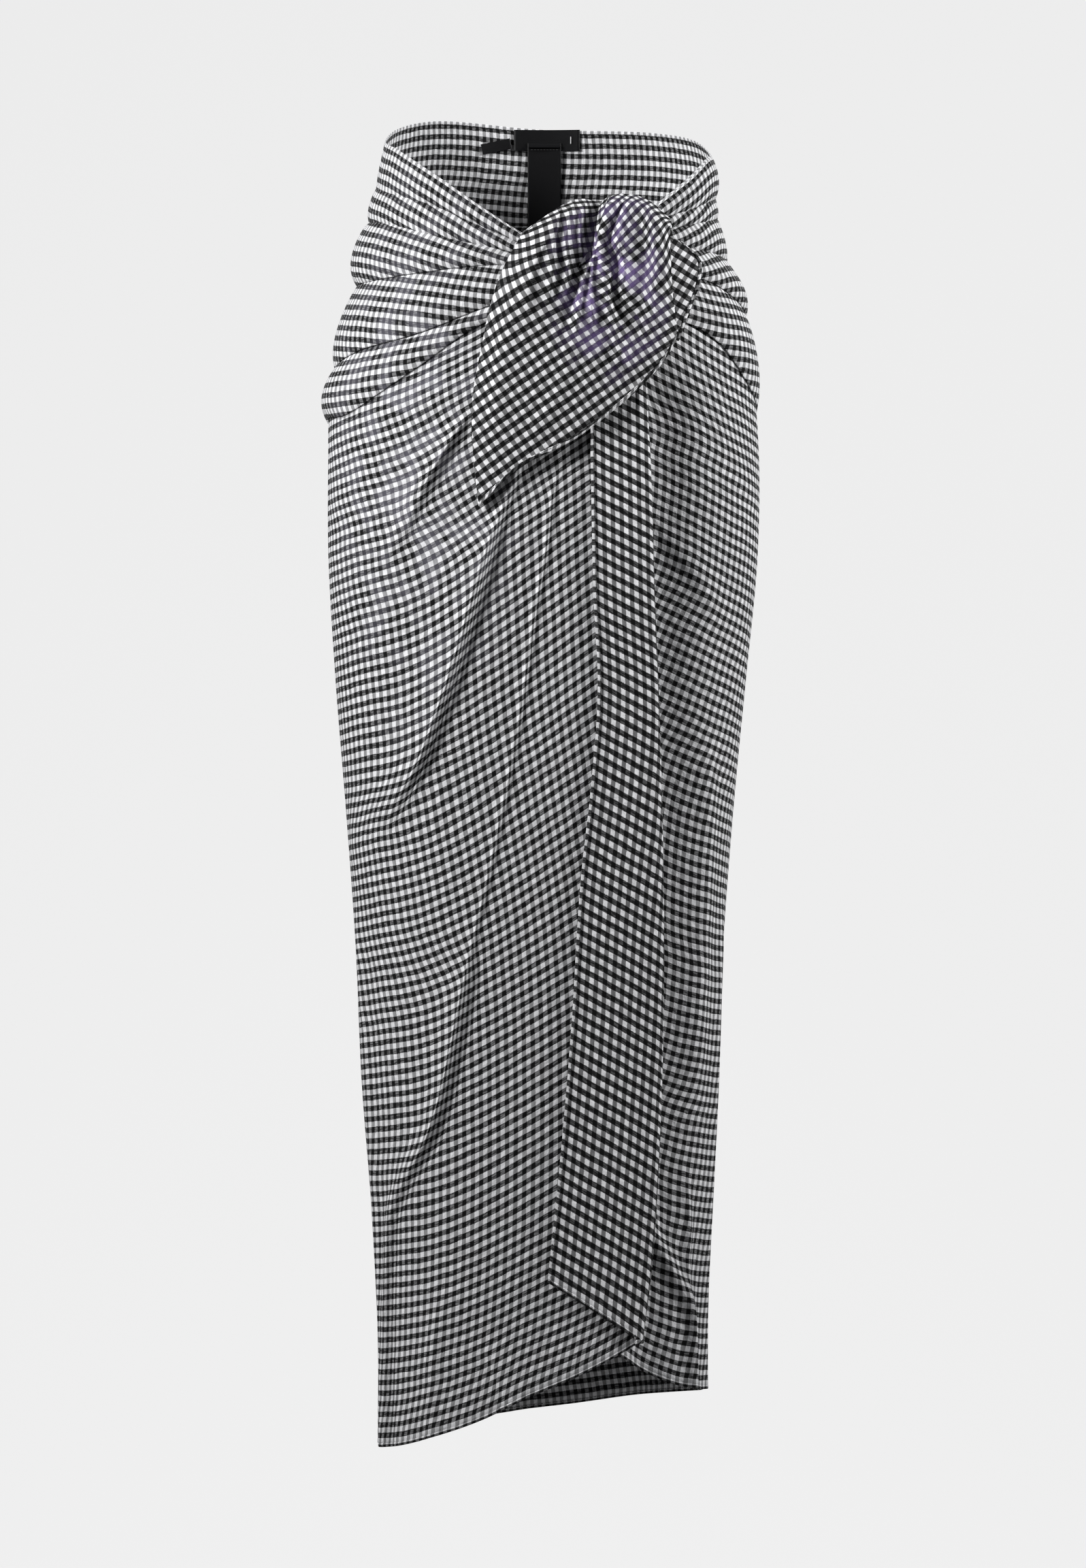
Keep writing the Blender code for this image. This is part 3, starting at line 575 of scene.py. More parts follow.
def ginghamGroup():
    # Checks from yarns: Cloth is counted in checks across and down.
    group = bpy.data.node_groups.new("gingham", "ShaderNodeTree")
    for name, kind, direction in (
        ("Cloth", "Vector", "INPUT"),
        *((tone, "Color", "INPUT") for tone in clothTones),
        ("Waver", "Float", "INPUT"),
        ("Row Streaks", "Float", "INPUT"),
        ("Column Streaks", "Float", "INPUT"),
        ("Color", "Color", "OUTPUT"),
        ("Height", "Float", "OUTPUT"),
    ):
        group.interface.new_socket(name=name, in_out=direction, socket_type="NodeSocket" + kind)
    start = addNode(group, "NodeGroupInput", (-1500, 0)).outputs
    end = addNode(group, "NodeGroupOutput", (1300, 0)).inputs
    cloth = start["Cloth"]

    # The lines of yarn waver a little.
    drift = noiseNode(group, (-1300, 250), cloth, 0.55, 3.0)["Color"]
    centred = vectorNode(group, "SUBTRACT", (-1100, 250), drift, (0.5, 0.5, 0.5))
    wide = mathNode(group, "MULTIPLY", (-1100, 100), start["Waver"], 4.0)
    scaled = vectorNode(group, "SCALE", (-950, 250), centred, wide)
    moved = vectorNode(group, "ADD", (-800, 150), cloth, scaled)
    parts = addNode(group, "ShaderNodeSeparateXYZ", (-650, 150))
    group.links.new(moved, parts.inputs[0])

    # Single yarns: fine noise drawn out along the yarns.
    def yarns(place, scale):
        stretch = vectorNode(group, "MULTIPLY", place, moved, scale)
        return noiseNode(group, (place[0] + 150, place[1]), stretch, 1.0)["Fac"]

    alongRows = yarns((-650, -150), (0.9, 7.5, 1.0))
    alongColumns = yarns((-650, -400), (7.5, 0.9, 1.0))

    def stripes(place, value, fray):
        shaken = mathNode(group, "MULTIPLY_ADD", place, fray, 0.10, value)
        folded = mathNode(group, "PINGPONG", (place[0] + 150, place[1]), shaken, 0.5)
        return rangeNode(group, (place[0] + 300, place[1]), folded, 0.215, 0.285)

    darkColumn = stripes((-450, 300), parts.outputs["X"], alongRows)
    darkRow = stripes((-450, 100), parts.outputs["Y"], alongColumns)

    rowStreak = rangeNode(group, (-300, -150), alongRows, 0.42, 0.60)
    columnStreak = rangeNode(group, (-300, -400), alongColumns, 0.36, 0.64)
    rowPart = mathNode(group, "MULTIPLY", (-100, -150), rowStreak, start["Row Streaks"])
    columnPart = mathNode(group, "MULTIPLY", (-100, -400), columnStreak, start["Column Streaks"])
    darkHalf = mixColour(group, (50, -100), rowPart, start["Dark Row"], start["Both Dark"])
    lightHalf = mixColour(group, (50, -350), columnPart, start["Light Row"], start["Both Light"])
    lightRow = mixColour(group, (300, 200), darkColumn, start["Both Light"], lightHalf)
    blackRow = mixColour(group, (300, -50), darkColumn, darkHalf, start["Both Dark"])
    checks = mixColour(group, (550, 100), darkRow, lightRow, blackRow)

    # Uneven dye and wear, a few checks wide.
    patches = noiseNode(group, (550, -200), cloth, 0.9, 4.0)["Fac"]
    shade = rangeNode(group, (700, -200), patches, 0.3, 0.7, 0.88, 1.08)
    group.links.new(vectorNode(group, "SCALE", (900, 0), checks, shade), end["Color"])

    # Crinkle: the light stripes pucker a little and the yarns stand up.
    crinkle = noiseNode(group, (550, -450), cloth, 1.4, 3.0)["Fac"]
    puckers = mathNode(group, "MULTIPLY_ADD", (750, -450), darkRow, -0.35, crinkle)
    threads = mathNode(group, "ADD", (550, -650), alongRows, alongColumns)
    group.links.new(mathNode(group, "MULTIPLY_ADD", (950, -500), threads, 0.12, puckers), end["Height"])
    return group


def clothMaterial(name):
    look = clothLooks[name]
    made, tree, shader = newMaterial(name)
    cloth = addNode(tree, "ShaderNodeUVMap", (-1100, 0), uv_map="cloth")
    weave = addNode(tree, "ShaderNodeGroup", (-850, 0), node_tree=ginghamNodes)
    tree.links.new(cloth.outputs["UV"], weave.inputs["Cloth"])
    for socket, tone in zip(clothTones, look["tones"]):
        weave.inputs[socket].default_value = (tone, tone, tone * 1.02, 1)
    setInputs(weave, {"Row Streaks": look["rowStreaks"], "Column Streaks": look["columnStreaks"]})
    weave.inputs["Waver"].default_value = look["waver"]

    # Painted sheen: a faint haze, lighter and tinted, is screened over part of the cloth, in blotches.
    spot = addNode(tree, "ShaderNodeTexCoord", (-1100, -350))
    mapped = addNode(tree, "ShaderNodeMapping", (-900, -350), vector_type="POINT")
    setInputs(mapped, {"Location": look["paintedSheenPlace"], "Scale": look["paintedSheenSpread"]})
    tree.links.new(spot.outputs["Object"], mapped.inputs["Vector"])
    ball = addNode(tree, "ShaderNodeTexGradient", (-700, -350), gradient_type="SPHERICAL")
    tree.links.new(mapped.outputs["Vector"], ball.inputs["Vector"])
    blotch = noiseNode(tree, (-700, -550), spot.outputs["Object"], 45.0)["Fac"]
    patchy = rangeNode(tree, (-500, -550), blotch, 0.42, 0.64)
    strength = mathNode(tree, "MULTIPLY", (-450, -350), ball.outputs["Fac"], patchy)
    amount = mathNode(tree, "MULTIPLY", (-300, -350), strength, look["paintedSheenAmount"])
    colour = mixColour(tree, (-200, 0), amount, weave.outputs["Color"], look["paintedSheenColour"], "SCREEN")
    tree.links.new(colour, shader.inputs["Base Color"])
    bumpFrom(tree, shader, (-200, -200), weave.outputs["Height"], 0.8, 0.0014)
    setInputs(shader, {"Roughness": 0.9, "Specular IOR Level": 0.08})
    setInputs(shader, {"Sheen Weight": 0.02, "Sheen Roughness": 0.5})
    return made


ginghamNodes = ginghamGroup()
faceLitCloth = clothMaterial("ginghamFaceLitThrough")
reverseShadedCloth = clothMaterial("ginghamReverseShadedThrough")
print("cloth finishes made")


panels = {
    "turnedEdge": {"stripColumns": 60, "bendColumns": 16, "softFold": 0.0085, "foldHeight": 0.0036},
    "overPanel": {"from": 270.0, "columns": 204},
    "backPanel": {"from": 90.0, "to": 270.0, "columns": 180},
    "underPanel": {"from": -24.0, "to": 90.0, "columns": 150},
    "edgeCount": 0.91,
    "edgeSlope": ((-0.890, 0.66), (-0.845, 0.60), (-0.780, 0.58), (-0.500, 0.54), (-0.240, 0.49)),
}
rows = clothRows()


def foldRows():
    z = np.linspace(-0.128, -0.884, len(rows))[:, None]
    for _ in range(8):
        z = woundPlaces(foldTurn(z), rows)[0][..., 2]
    return z


def turnedEdgeSheet():
    sizes = panels["turnedEdge"]
    radius, soft, high = foldedEdge["radius"], sizes["softFold"], sizes["foldHeight"]
    foldZ = foldRows()
    width = (curveThrough(foldedEdge["line"], 1, foldZ) - curveThrough(foldedEdge["line"], 2, foldZ))
    stop = (soft - radius) / width
    strip = np.linspace(1, 0, sizes["stripColumns"] + 1)[:-1]
    bend = np.radians(np.linspace(90, -84, sizes["bendColumns"]))
    across = np.concatenate([stop + (1 - stop) * strip, 0 * foldZ + 0 * bend], axis=1)
    down = np.clip((foldZ - foldZ[0]) / (foldZ[-1] - foldZ[0]), 0, 1)
    z = foldZ + foldedEdge["hemRise"] * across * down
    fold, edge = foldTurn(z), foldTurn(z, 2)
    turn = fold + (edge - fold) * across
    base = overLift(turn) + foldLifts(turn, z) - 0.0007
    crest = radius + high
    flat = 0.0027 + 0.0006 * smoothStep(0.5, 1, across)
    lift = crest + (flat - crest) * smoothStep(0, 0.8, across)
    lift = lift + 0.0012 * np.exp(-(((1 - across) * width / 0.0016) ** 2))
    place, out = figurePlace(turn, z)
    along = np.stack([-out[..., 1], out[..., 0], 0 * out[..., 2]], axis=-1)
    places = place + out * (base + lift)[..., None]
    for i, angle in enumerate(bend):
        column = sizes["stripColumns"] + i
        wide, tall = (soft, high) if angle > 0 else (radius, radius)
        sideways = radius - wide + wide * math.cos(angle)
        upwards = base[:, column] + radius + tall * math.sin(angle)
        places[:, column] = place[:, column] + along[:, column] * sideways + out[:, column] * upwards[:, None]
    lengths = lengthsAlong(places)
    slope = curveThrough(panels["edgeSlope"], 1, z)
    edgeHem = foldZ[-1] + foldedEdge["hemRise"]
    down = panels["edgeCount"] * (edgeHem - z - slope * lengths)
    return places, np.stack([lengths, winding["clothHeight"] + down], axis=-1), out


def countedSheet(turns, startLengths, taper, ease):
    # Above the hips the cloth is drawn in, mostly where ease says so, and the columns stay upright.
    places, out, down = woundPlaces(turns, rows)
    lengths = lengthsAlong(places)
    z = places[:, :1, 2]
    hips = np.abs(places[:, -1, 2] + 0.215).argmin()
    drawnIn = (lengths[hips, -1] / lengths[:, -1:] - 1) * smoothStep(-0.235, -0.195, z)
    share = (turns - turns[:, :1]) / (turns[:, -1:] - turns[:, :1])
    evenness = (1 - ease) + ease * 3 * (2 * share - 1) ** 2
    steps = np.diff(lengths, axis=1) * (1 + drawnIn * (evenness[:, 1:] + evenness[:, :-1]) / 2)
    lengths = np.concatenate([0 * z, np.cumsum(steps, axis=1)], axis=1)
    aside, stepped = gatheredCloth(turns, places[..., 2])
    lengths = startLengths[:, None] + (lengths[:, -1:] - lengths) * taper + aside - aside[:, -1:]
    return places, np.stack([lengths, down + stepped], axis=-1), out


def panelSheet(name, turns, startLengths, taper=1.0, ease=0.0):
    turns = gatherColumns(turns, panels[name]["columns"])
    grids = countedSheet(turns, startLengths, taper, ease)
    return clothSheet(name + "Cloth", *grids[:2], faceLitCloth, winding["thickness"]), grids


def panelTurns(name):
    return np.zeros((len(rows), 1)) + (panels[name]["from"], panels[name]["to"])


rowsAbove = winding["bandRows"] * 4
edgeGrids = [grid[rowsAbove:] for grid in turnedEdgeSheet()]
edgeCloth = edgeGrids[1]
edgeLengths = np.concatenate([np.full(rowsAbove, edgeCloth[0, -1, 0]), edgeCloth[:, -1, 0]])
turnedEdge = clothSheet("turnedEdgeCloth", *edgeGrids[:2], reverseShadedCloth, winding["thickness"])

foldZ = foldRows()
overTurns = np.concatenate([0 * foldZ + panels["overPanel"]["from"], foldTurn(foldZ)], axis=1)
overPanel, overGrids = panelSheet("overPanel", overTurns, edgeLengths)
taper = 1 + 0.15 * smoothStep(-0.25, -0.97, foldZ)
backPanel, backGrids = panelSheet("backPanel", panelTurns("backPanel"), overGrids[1][:, 0, 0], taper, 0.6)
underPanel, underGrids = panelSheet("underPanel", panelTurns("underPanel"), backGrids[1][:, 0, 0])
print("wound cloth made")


# Narrow hems: the edge is turned over twice, and stitched

hems = {
    "width": 0.0032,
    "thickness": 0.0010,
    "sides": 14,
    "margin": 0.0010,
    "stitch": 0.0019,
    "gap": 0.0011,
    "thread": 0.00016,
    "threadDark": (0.012, 0.012, 0.013, 1),
    "threadLight": (0.07, 0.07, 0.072, 1),
}


def unit(ways):
    return ways / np.linalg.norm(ways, axis=-1, keepdims=True)


def hemBand(name, edge, inner, out, cloth, innerCloth, side, finish):
    # A flattened roll along an edge. Side is 1 where the hem lies on the outside, and -1 inside.
    width, thickness = hems["width"], hems["thickness"]
    inwards = unit(inner - edge)
    angles = np.linspace(0, 2 * np.pi, hems["sides"] + 1)
    if side < 0:
        angles = angles[::-1]
    reach = width / 2 * (1 - 0.15 - np.sign(np.cos(angles)) * np.abs(np.cos(angles)) ** 0.7)
    rise = thickness / 2 * np.sign(np.sin(angles)) * np.abs(np.sin(angles)) ** 0.7
    raised = side * thickness * 0.36 + rise * side
    places = edge[:, None] + inwards[:, None] * reach[:, None] + out[:, None] * raised[:, None]
    clothInwards = (innerCloth - cloth) / np.linalg.norm(inner - edge, axis=-1, keepdims=True)
    counted = cloth[:, None] - clothInwards[:, None] * reach[:, None]
    return clothSheet(name, places, counted, finish, 0)


def threadTubes(name, middles, halves, across, up, sides, caps, finish):
    # A short tube for each thread, all in one mesh. Halves run from a middle to an end.
    bpy.ops.object.select_all(action="DESELECT")
    bpy.ops.mesh.primitive_cylinder_add(vertices=sides, radius=1, depth=2, end_fill_type=caps)
    pattern = bpy.context.object
    shape = np.array([vertex.co[:] for vertex in pattern.data.vertices])
    faces = [tuple(face.vertices) for face in pattern.data.polygons]
    bpy.data.objects.remove(pattern)
    points = (
        middles[:, None]
        + halves[:, None] * shape[None, :, 2:3]
        + across[:, None] * shape[None, :, 0:1]
        + up[:, None] * shape[None, :, 1:2]
    )
    starts = range(0, len(middles) * len(shape), len(shape))
    allFaces = [tuple(start + corner for corner in face) for start in starts for face in faces]
    mesh = bpy.data.meshes.new(name)
    mesh.from_pydata(points.reshape(-1, 3).tolist(), [], allFaces)
    mesh.materials.append(finish)
    made = bpy.data.objects.new(name, mesh)
    bpy.context.scene.collection.objects.link(made)
    return made


def stitchRow(name, path, out, side):
    # Straight stitches along a path, with a gap after each.
    steps = np.linalg.norm(np.diff(path, axis=0), axis=-1)
    reached = np.concatenate([[0], np.cumsum(steps)])
    pitch = hems["stitch"] + hems["gap"]
    starts = np.arange(pitch / 2, reached[-1] - pitch, pitch)

    def at(length, table):
        return np.stack([np.interp(length, reached, column) for column in table.T], axis=-1)

    first, last = at(starts, path), at(starts + hems["stitch"], path)
    ways, outs = unit(last - first), unit(at(starts, out))
    middles = (first + last) / 2 + outs * side * hems["thread"] * 0.5
    across, up = np.cross(ways, outs) * hems["thread"], outs * hems["thread"]
    return threadTubes(name, middles, ways * hems["stitch"] / 2, across, up, 6, "TRIFAN", threadFinish)


def hemmed(name, grids, edge, side, finish):
    # Hem and stitches along one edge of a sheet: "hem", "top", "start" or "end" of its columns.
    pick = {
        "hem": lambda grid: (grid[-1], grid[-3]),
        "top": lambda grid: (grid[0, ::-1], grid[2, ::-1]),
        "start": lambda grid: (grid[:, 0], grid[:, 2]),
        "end": lambda grid: (grid[::-1, -1], grid[::-1, -3]),
    }[edge]
    (rim, inner), (clothRim, clothInner), (outRim, _) = (pick(grid) for grid in grids)
    band = hemBand(name, rim, inner, outRim, clothRim, clothInner, side, finish)
    seam = rim + unit(inner - rim) * (hems["width"] - hems["margin"])
    face = seam + outRim * side * hems["thickness"] * 0.86
    return [band, stitchRow(name + "Stitches", face, outRim, side)]


def panelHems(name, grids):
    lower = hemmed(name + "Hem", grids, "hem", -1, faceLitCloth)
    return lower + hemmed(name + "Top", grids, "top", -1, faceLitCloth)


threadFinish = fleckedMaterial("stitchThread", 2600.0, hems["threadDark"], hems["threadLight"], 0.6)[0]
turnedHems = hemmed("turnedEdgeHem", [grid[:, :-8] for grid in edgeGrids], "hem", 1, reverseShadedCloth)
turnedHems += hemmed("turnedEdgeSelvedge", edgeGrids, "start", 1, reverseShadedCloth)
overHems = panelHems("overPanel", overGrids)
backHems = panelHems("backPanel", backGrids)
underHems = panelHems("underPanel", underGrids)
print("hems made")


# Leaf of the tie

tieLeaf = {
    "left": (
        (-0.0138, -0.0757),
        (-0.0287, -0.1024),
        (-0.0370, -0.1256),
        (-0.0435, -0.1558),
        (-0.0509, -0.1993),
        (-0.0504, -0.2329),
        (-0.0460, -0.2744),
    ),
    "top": (
        (-0.0138, -0.0757),
        (0.0064, -0.0624),
        (0.0280, -0.0525),
        (0.0440, -0.0530),
        (0.0618, -0.0480),
        (0.0815, -0.0522),
        (0.0969, -0.0639),
    ),
    "right": (
        (0.0969, -0.0639),
        (0.0972, -0.0900),
        (0.0982, -0.1200),
        (0.1018, -0.1494),
    ),
    "hem": (
        (-0.0460, -0.2744),
        (-0.0188, -0.2497),
        (0.0267, -0.2260),
        (0.0499, -0.2092),
        (0.0730, -0.1894),
        (0.0934, -0.1657),
        (0.1018, -0.1494),
    ),
    # How far it stands off the figure: share down, then at each of the shares across.
    "standoff": (
        (0.00, 0.0150, 0.0190, 0.0240, 0.0235, 0.0215, 0.0240, 0.0265, 0.0235, 0.0170),
        (0.05, 0.0130, 0.0250, 0.0340, 0.0345, 0.0285, 0.0350, 0.0390, 0.0335, 0.0210),
        (0.13, 0.0120, 0.0265, 0.0375, 0.0375, 0.0290, 0.0370, 0.0430, 0.0370, 0.0225),
        (0.25, 0.0115, 0.0250, 0.0350, 0.0330, 0.0285, 0.0345, 0.0410, 0.0360, 0.0225),
        (0.42, 0.0110, 0.0205, 0.0275, 0.0275, 0.0270, 0.0300, 0.0325, 0.0290, 0.0200),
        (0.68, 0.0100, 0.0160, 0.0210, 0.0225, 0.0230, 0.0240, 0.0235, 0.0200, 0.0160),
        (1.00, 0.0090, 0.0115, 0.0135, 0.0150, 0.0155, 0.0158, 0.0150, 0.0130, 0.0115),
    ),
    "shares": (0.0, 0.12, 0.30, 0.44, 0.52, 0.60, 0.76, 0.90, 1.0),
    # Below nought is a trough.
    "creases": (
        crease(0.0056, 0.0013, 0.021, (0.049, -0.05), (0.044, -0.064), (0.0416, -0.076), (0.04, -0.09)),
        crease(-0.004, 0.006, 0.003, (0.045, -0.052), (0.04, -0.068), (0.0375, -0.086),
               (0.035, -0.096)),
        crease(-0.0046, 0.0045, 0.0026, (0.0401, -0.0936), (0.0327, -0.0986), (0.0247, -0.1208),
               (0.0193, -0.1406)),
        crease(0.0036, 0.002, 0.0016, (0.033, -0.056), (0.03, -0.068), (0.0285, -0.08), (0.03, -0.093),
               crisp=True),
        crease(0.0044, 0.0026, 0.0018, (0.0245, -0.056), (0.0215, -0.07), (0.019, -0.088),
               (0.0205, -0.102), (0.015, -0.124), crisp=True),
        crease(0.004, 0.0032, 0.002, (0.015, -0.06), (0.0105, -0.076), (0.009, -0.096),
               (0.0075, -0.112), (0.006, -0.128), crisp=True),
        crease(0.003, 0.006, 0.0036, (0.0104, -0.0748), (-0.001, -0.091), (-0.0084, -0.108),
               (-0.01, -0.1372)),
        crease(0.004, 0.0026, 0.0018, (0.0401, -0.0936), (0.033, -0.11), (0.029, -0.128),
               (0.027, -0.148), crisp=True),
        crease(0.0034, 0.0022, 0.0018, (0.0401, -0.095), (0.0385, -0.112), (0.038, -0.13),
               (0.04, -0.144), crisp=True),
        crease(-0.0046, 0.0026, 0.0032, (0.064, -0.052), (0.056, -0.07), (0.052, -0.084),
               (0.0565, -0.1), (0.055, -0.114), (0.059, -0.142)),
        crease(0.0036, 0.0024, 0.0044, (0.07, -0.054), (0.064, -0.07), (0.06, -0.086), (0.064, -0.102),
               (0.062, -0.12), (0.068, -0.142), crisp=True),
        crease(0.0042, 0.0034, 0.0046, (0.0455, -0.095), (0.049, -0.118), (0.054, -0.148),
               (0.064, -0.18), crisp=True),
        crease(-0.0034, 0.004, 0.0034, (0.085, -0.06), (0.086, -0.08), (0.088, -0.104), (0.085, -0.13)),
        crease(0.0022, 0.003, 0.003, (0.076, -0.07), (0.079, -0.09), (0.078, -0.11), (0.074, -0.126),
               crisp=True),
        crease(0.0026, 0.008, 0.007, (0.035, -0.13), (0.024, -0.162), (0.012, -0.195), (-0.006, -0.23)),
        crease(0.0014, 0.004, 0.003, (0.019, -0.135), (0.008, -0.16), (-0.002, -0.19), (-0.02, -0.22)),
        crease(0.0022, 0.005, 0.008, (-0.02, -0.12), (-0.029, -0.15), (-0.035, -0.19),
               (-0.036, -0.225)),
        crease(0.0026, 0.004, 0.005, (0.076, -0.125), (0.072, -0.142), (0.064, -0.16), (0.054, -0.176)),
    ),
    # Behind the top it runs down again: drop, standoff.
    "roll": ((0.0340, 0.0105), (0.0260, 0.0106), (0.0180, 0.0110), (0.0120, 0.0115), (0.0075, 0.0125),
             (0.0042, 0.0140), (0.0020, 0.0160), (0.0006, 0.0185)),
    "columns": 150,
    "rows": 170,
    # The checks turn about the pinch: how steeply the rows rise to the right below it, on the
    # left bulge and on the right one.
    "pinch": (0.0401, -0.0936),
    "overlap": ((0.0490, -0.0500), (0.0416, -0.0760), (0.0400, -0.0900)),
    "rowAngle": 35.0,
    "leftRowAngle": 5.0,
    "rightRowAngle": 48.0,
    "counts": (0.89, -1.07),
    "curl": 0.0016,
    "curlColumns": 10,
    "thickness": 0.0006,
}


def sidePoints(side, shares):
    side = np.array(side, float)
    lengths = np.concatenate([[0], np.cumsum(np.linalg.norm(np.diff(side, axis=0), axis=1))])
    table = [(length / lengths[-1], *point) for length, point in zip(lengths, side)]
    return np.stack([curveThrough(table, 1, shares), curveThrough(table, 2, shares)], axis=-1)


def leafFolds(x, z):
    lift = 0 * x
    for crease in tieLeaf["creases"]:
        line = [(place[1], place[0]) for place in crease["line"]]
        top, end = line[0][0], line[-1][0]
        slope = (line[0][1] - line[-1][1]) / (top - end)
        away = (x - curveThrough(line, 1, z)) / math.hypot(1, slope)
        reach = 0.3 * (top - end)
        shown = smoothStep(top + 0.010, top - 0.002, z) * smoothStep(end - 0.008, end - 0.008 + reach, z)
        lift = lift + crease["height"] * shown * creaseProfile(away, crease)
    return lift


def leafRowAngle(x, z):
    onLeft = smoothStep(0.050, 0.034, x) * smoothStep(-0.122, -0.086, z)
    onRight = smoothStep(0.038, 0.058, x) * smoothStep(-0.150, -0.080, z)
    turnLeft = (tieLeaf["leftRowAngle"] - tieLeaf["rowAngle"]) * onLeft
    turnRight = (tieLeaf["rightRowAngle"] - tieLeaf["rowAngle"]) * onRight
    return np.radians(tieLeaf["rowAngle"] + turnLeft + turnRight)


def countCloth(places, flat, angle, kept):
    # The lengths along and across the yarns that fit every step of the grid best, given which
    # way the rows run at each place. Kept weighs the steps across the columns.
    def steps(axis):
        true = np.linalg.norm(np.diff(places, axis=axis), axis=-1)
        drawn = np.diff(flat, axis=axis)
        way = drawn * (true / np.maximum(np.linalg.norm(drawn, axis=-1), 1e-7))[..., None]
        first = [slice(None), slice(None)]
        last = [slice(None), slice(None)]
        first[axis], last[axis] = slice(None, -1), slice(1, None)
        mean = (angle[tuple(first)] + angle[tuple(last)]) / 2
        along = way[..., 0] * np.cos(mean) + way[..., 1] * np.sin(mean)
        square = way[..., 1] * np.cos(mean) - way[..., 0] * np.sin(mean)
        return along, square

    def spread(downs, acrosses):
        total = np.zeros(angle.shape)
        total[1:] += downs
        total[:-1] -= downs
        total[:, 1:] += acrosses
        total[:, :-1] -= acrosses
        return total

    counted = []
    for downs, acrosses in zip(steps(0), steps(1)):
        wanted = spread(downs, acrosses * kept)
        found = flat[..., 0] * 0
        rest = wanted.copy()
        way = rest.copy()
        size = (rest * rest).sum()
        for _ in range(900):
            pushed = spread(np.diff(way, axis=0), np.diff(way, axis=1) * kept)
            step = size / (way * pushed).sum()
            found += step * way
            rest -= step * pushed
            newSize = (rest * rest).sum()
            if newSize < 1e-14:
                break
            way = rest + way * (newSize / size)
            size = newSize
        counted.append(found)
    return np.stack(counted, axis=-1)


def leafSheet():
    across = np.linspace(0, 1, tieLeaf["columns"] + 1)
    down = np.linspace(0, 1, tieLeaf["rows"] + 1) ** 1.2
    top, hem = sidePoints(tieLeaf["top"], across), sidePoints(tieLeaf["hem"], across)
    left, right = sidePoints(tieLeaf["left"], down), sidePoints(tieLeaf["right"], down)
    u, v = across[None, :, None], down[:, None, None]
    corners = (top[0] * (1 - u) + top[-1] * u) * (1 - v) + (hem[0] * (1 - u) + hem[-1] * u) * v
    front = left[:, None] * (1 - u) + right[:, None] * u + top * (1 - v) + hem * v - corners
    bands = [curveThrough(tieLeaf["standoff"], 1 + i, down) for i in range(len(tieLeaf["shares"]))]
    standoff = np.array(
        [curveThrough(list(zip(tieLeaf["shares"], line)), 1, across) for line in np.stack(bands, axis=1)]
    )
    standoff += leafFolds(front[..., 0], front[..., 1]) + 0.0007
    places, outs = onFront(front[..., 0], front[..., 1], standoff)
    behind = []
    for drop, backStandoff in tieLeaf["roll"]:
        reach = smoothStep(0, 0.12, across) * smoothStep(1, 0.9, across)
        kept = backStandoff + (standoff[0] - backStandoff) * (1 - reach) * 0.6
        behind.append(onFront(top[:, 0], top[:, 1] - drop * (0.3 + 0.7 * reach), kept)[0])
    places = np.concatenate([np.array(behind), places])
    outs = np.concatenate([np.repeat(outs[:1], len(behind), axis=0), outs])

    # A place behind the top counts as lying above it, unrolled.
    steps = np.linalg.norm(np.diff(places[: len(behind) + 1], axis=0), axis=-1)
    unrolled = np.cumsum(steps[::-1], axis=0)[::-1]
    x = places[..., 0]
    z = np.concatenate([top[:, 1] + unrolled, front[..., 1]])
    overlap = curveThrough([(place[1], place[0]) for place in tieLeaf["overlap"]], 1, z)
    beside = (x[:, 1:] - overlap[:, 1:]) * (x[:, :-1] - overlap[:, :-1]) < 0
    kept = np.where(beside & (z[:, 1:] > tieLeaf["overlap"][-1][1]), 0.01, 1.0)
    counted = countCloth(places, np.stack([x, z], axis=-1), leafRowAngle(x, np.minimum(z, top[:, 1])), kept)
    counted = counted - counted[-1, 0]
    cloth = counted * tieLeaf["counts"]

    # The left side curls under.
    sideways = unit(places[:, 0] - places[:, 1])
    stepCloth = (cloth[:, 0] - cloth[:, 1]) / np.linalg.norm(places[:, 0] - places[:, 1], axis=-1)[:, None]
    curled, curledCloth = [], []
    for turned in np.radians(np.linspace(165, 14, tieLeaf["curlColumns"])):
        away = sideways * math.sin(turned) - outs[:, 0] * (1 - math.cos(turned))
        curled.append(places[:, 0] + away * tieLeaf["curl"])
        curledCloth.append(cloth[:, 0] + stepCloth * tieLeaf["curl"] * turned)
    places = np.concatenate([np.stack(curled, axis=1), places], axis=1)
    cloth = np.concatenate([np.stack(curledCloth, axis=1), cloth], axis=1)
    outs = np.concatenate([np.repeat(outs[:, :1], len(curled), axis=1), outs], axis=1)
    return places, cloth, outs


leafGrids = leafSheet()
leafPiece = clothSheet("tieLeafCloth", *leafGrids[:2], reverseShadedCloth, tieLeaf["thickness"])
uncurled = [grid[:, tieLeaf["curlColumns"] :] for grid in leafGrids]
leafHems = hemmed("tieLeafHem", uncurled, "hem", 1, reverseShadedCloth)
print("leaf made")


# Flap beside the leaf

tieFlap = {
    "inner": ((0.0885, -0.0740), (0.0885, -0.1120), (0.0925, -0.1500)),
    "outer": (
        (0.1040, -0.0790),
        (0.1180, -0.0930),
        (0.1176, -0.1075),
        (0.1130, -0.1230),
        (0.1070, -0.1380),
        (0.1015, -0.1535),
    ),
    "standoff": 0.0098,
    "arch": 0.0012,
    "wave": 0.0016,
    "thickness": 0.0006,
    "rowAngle": -30.0,
    "columns": 30,
    "rows": 70,
}


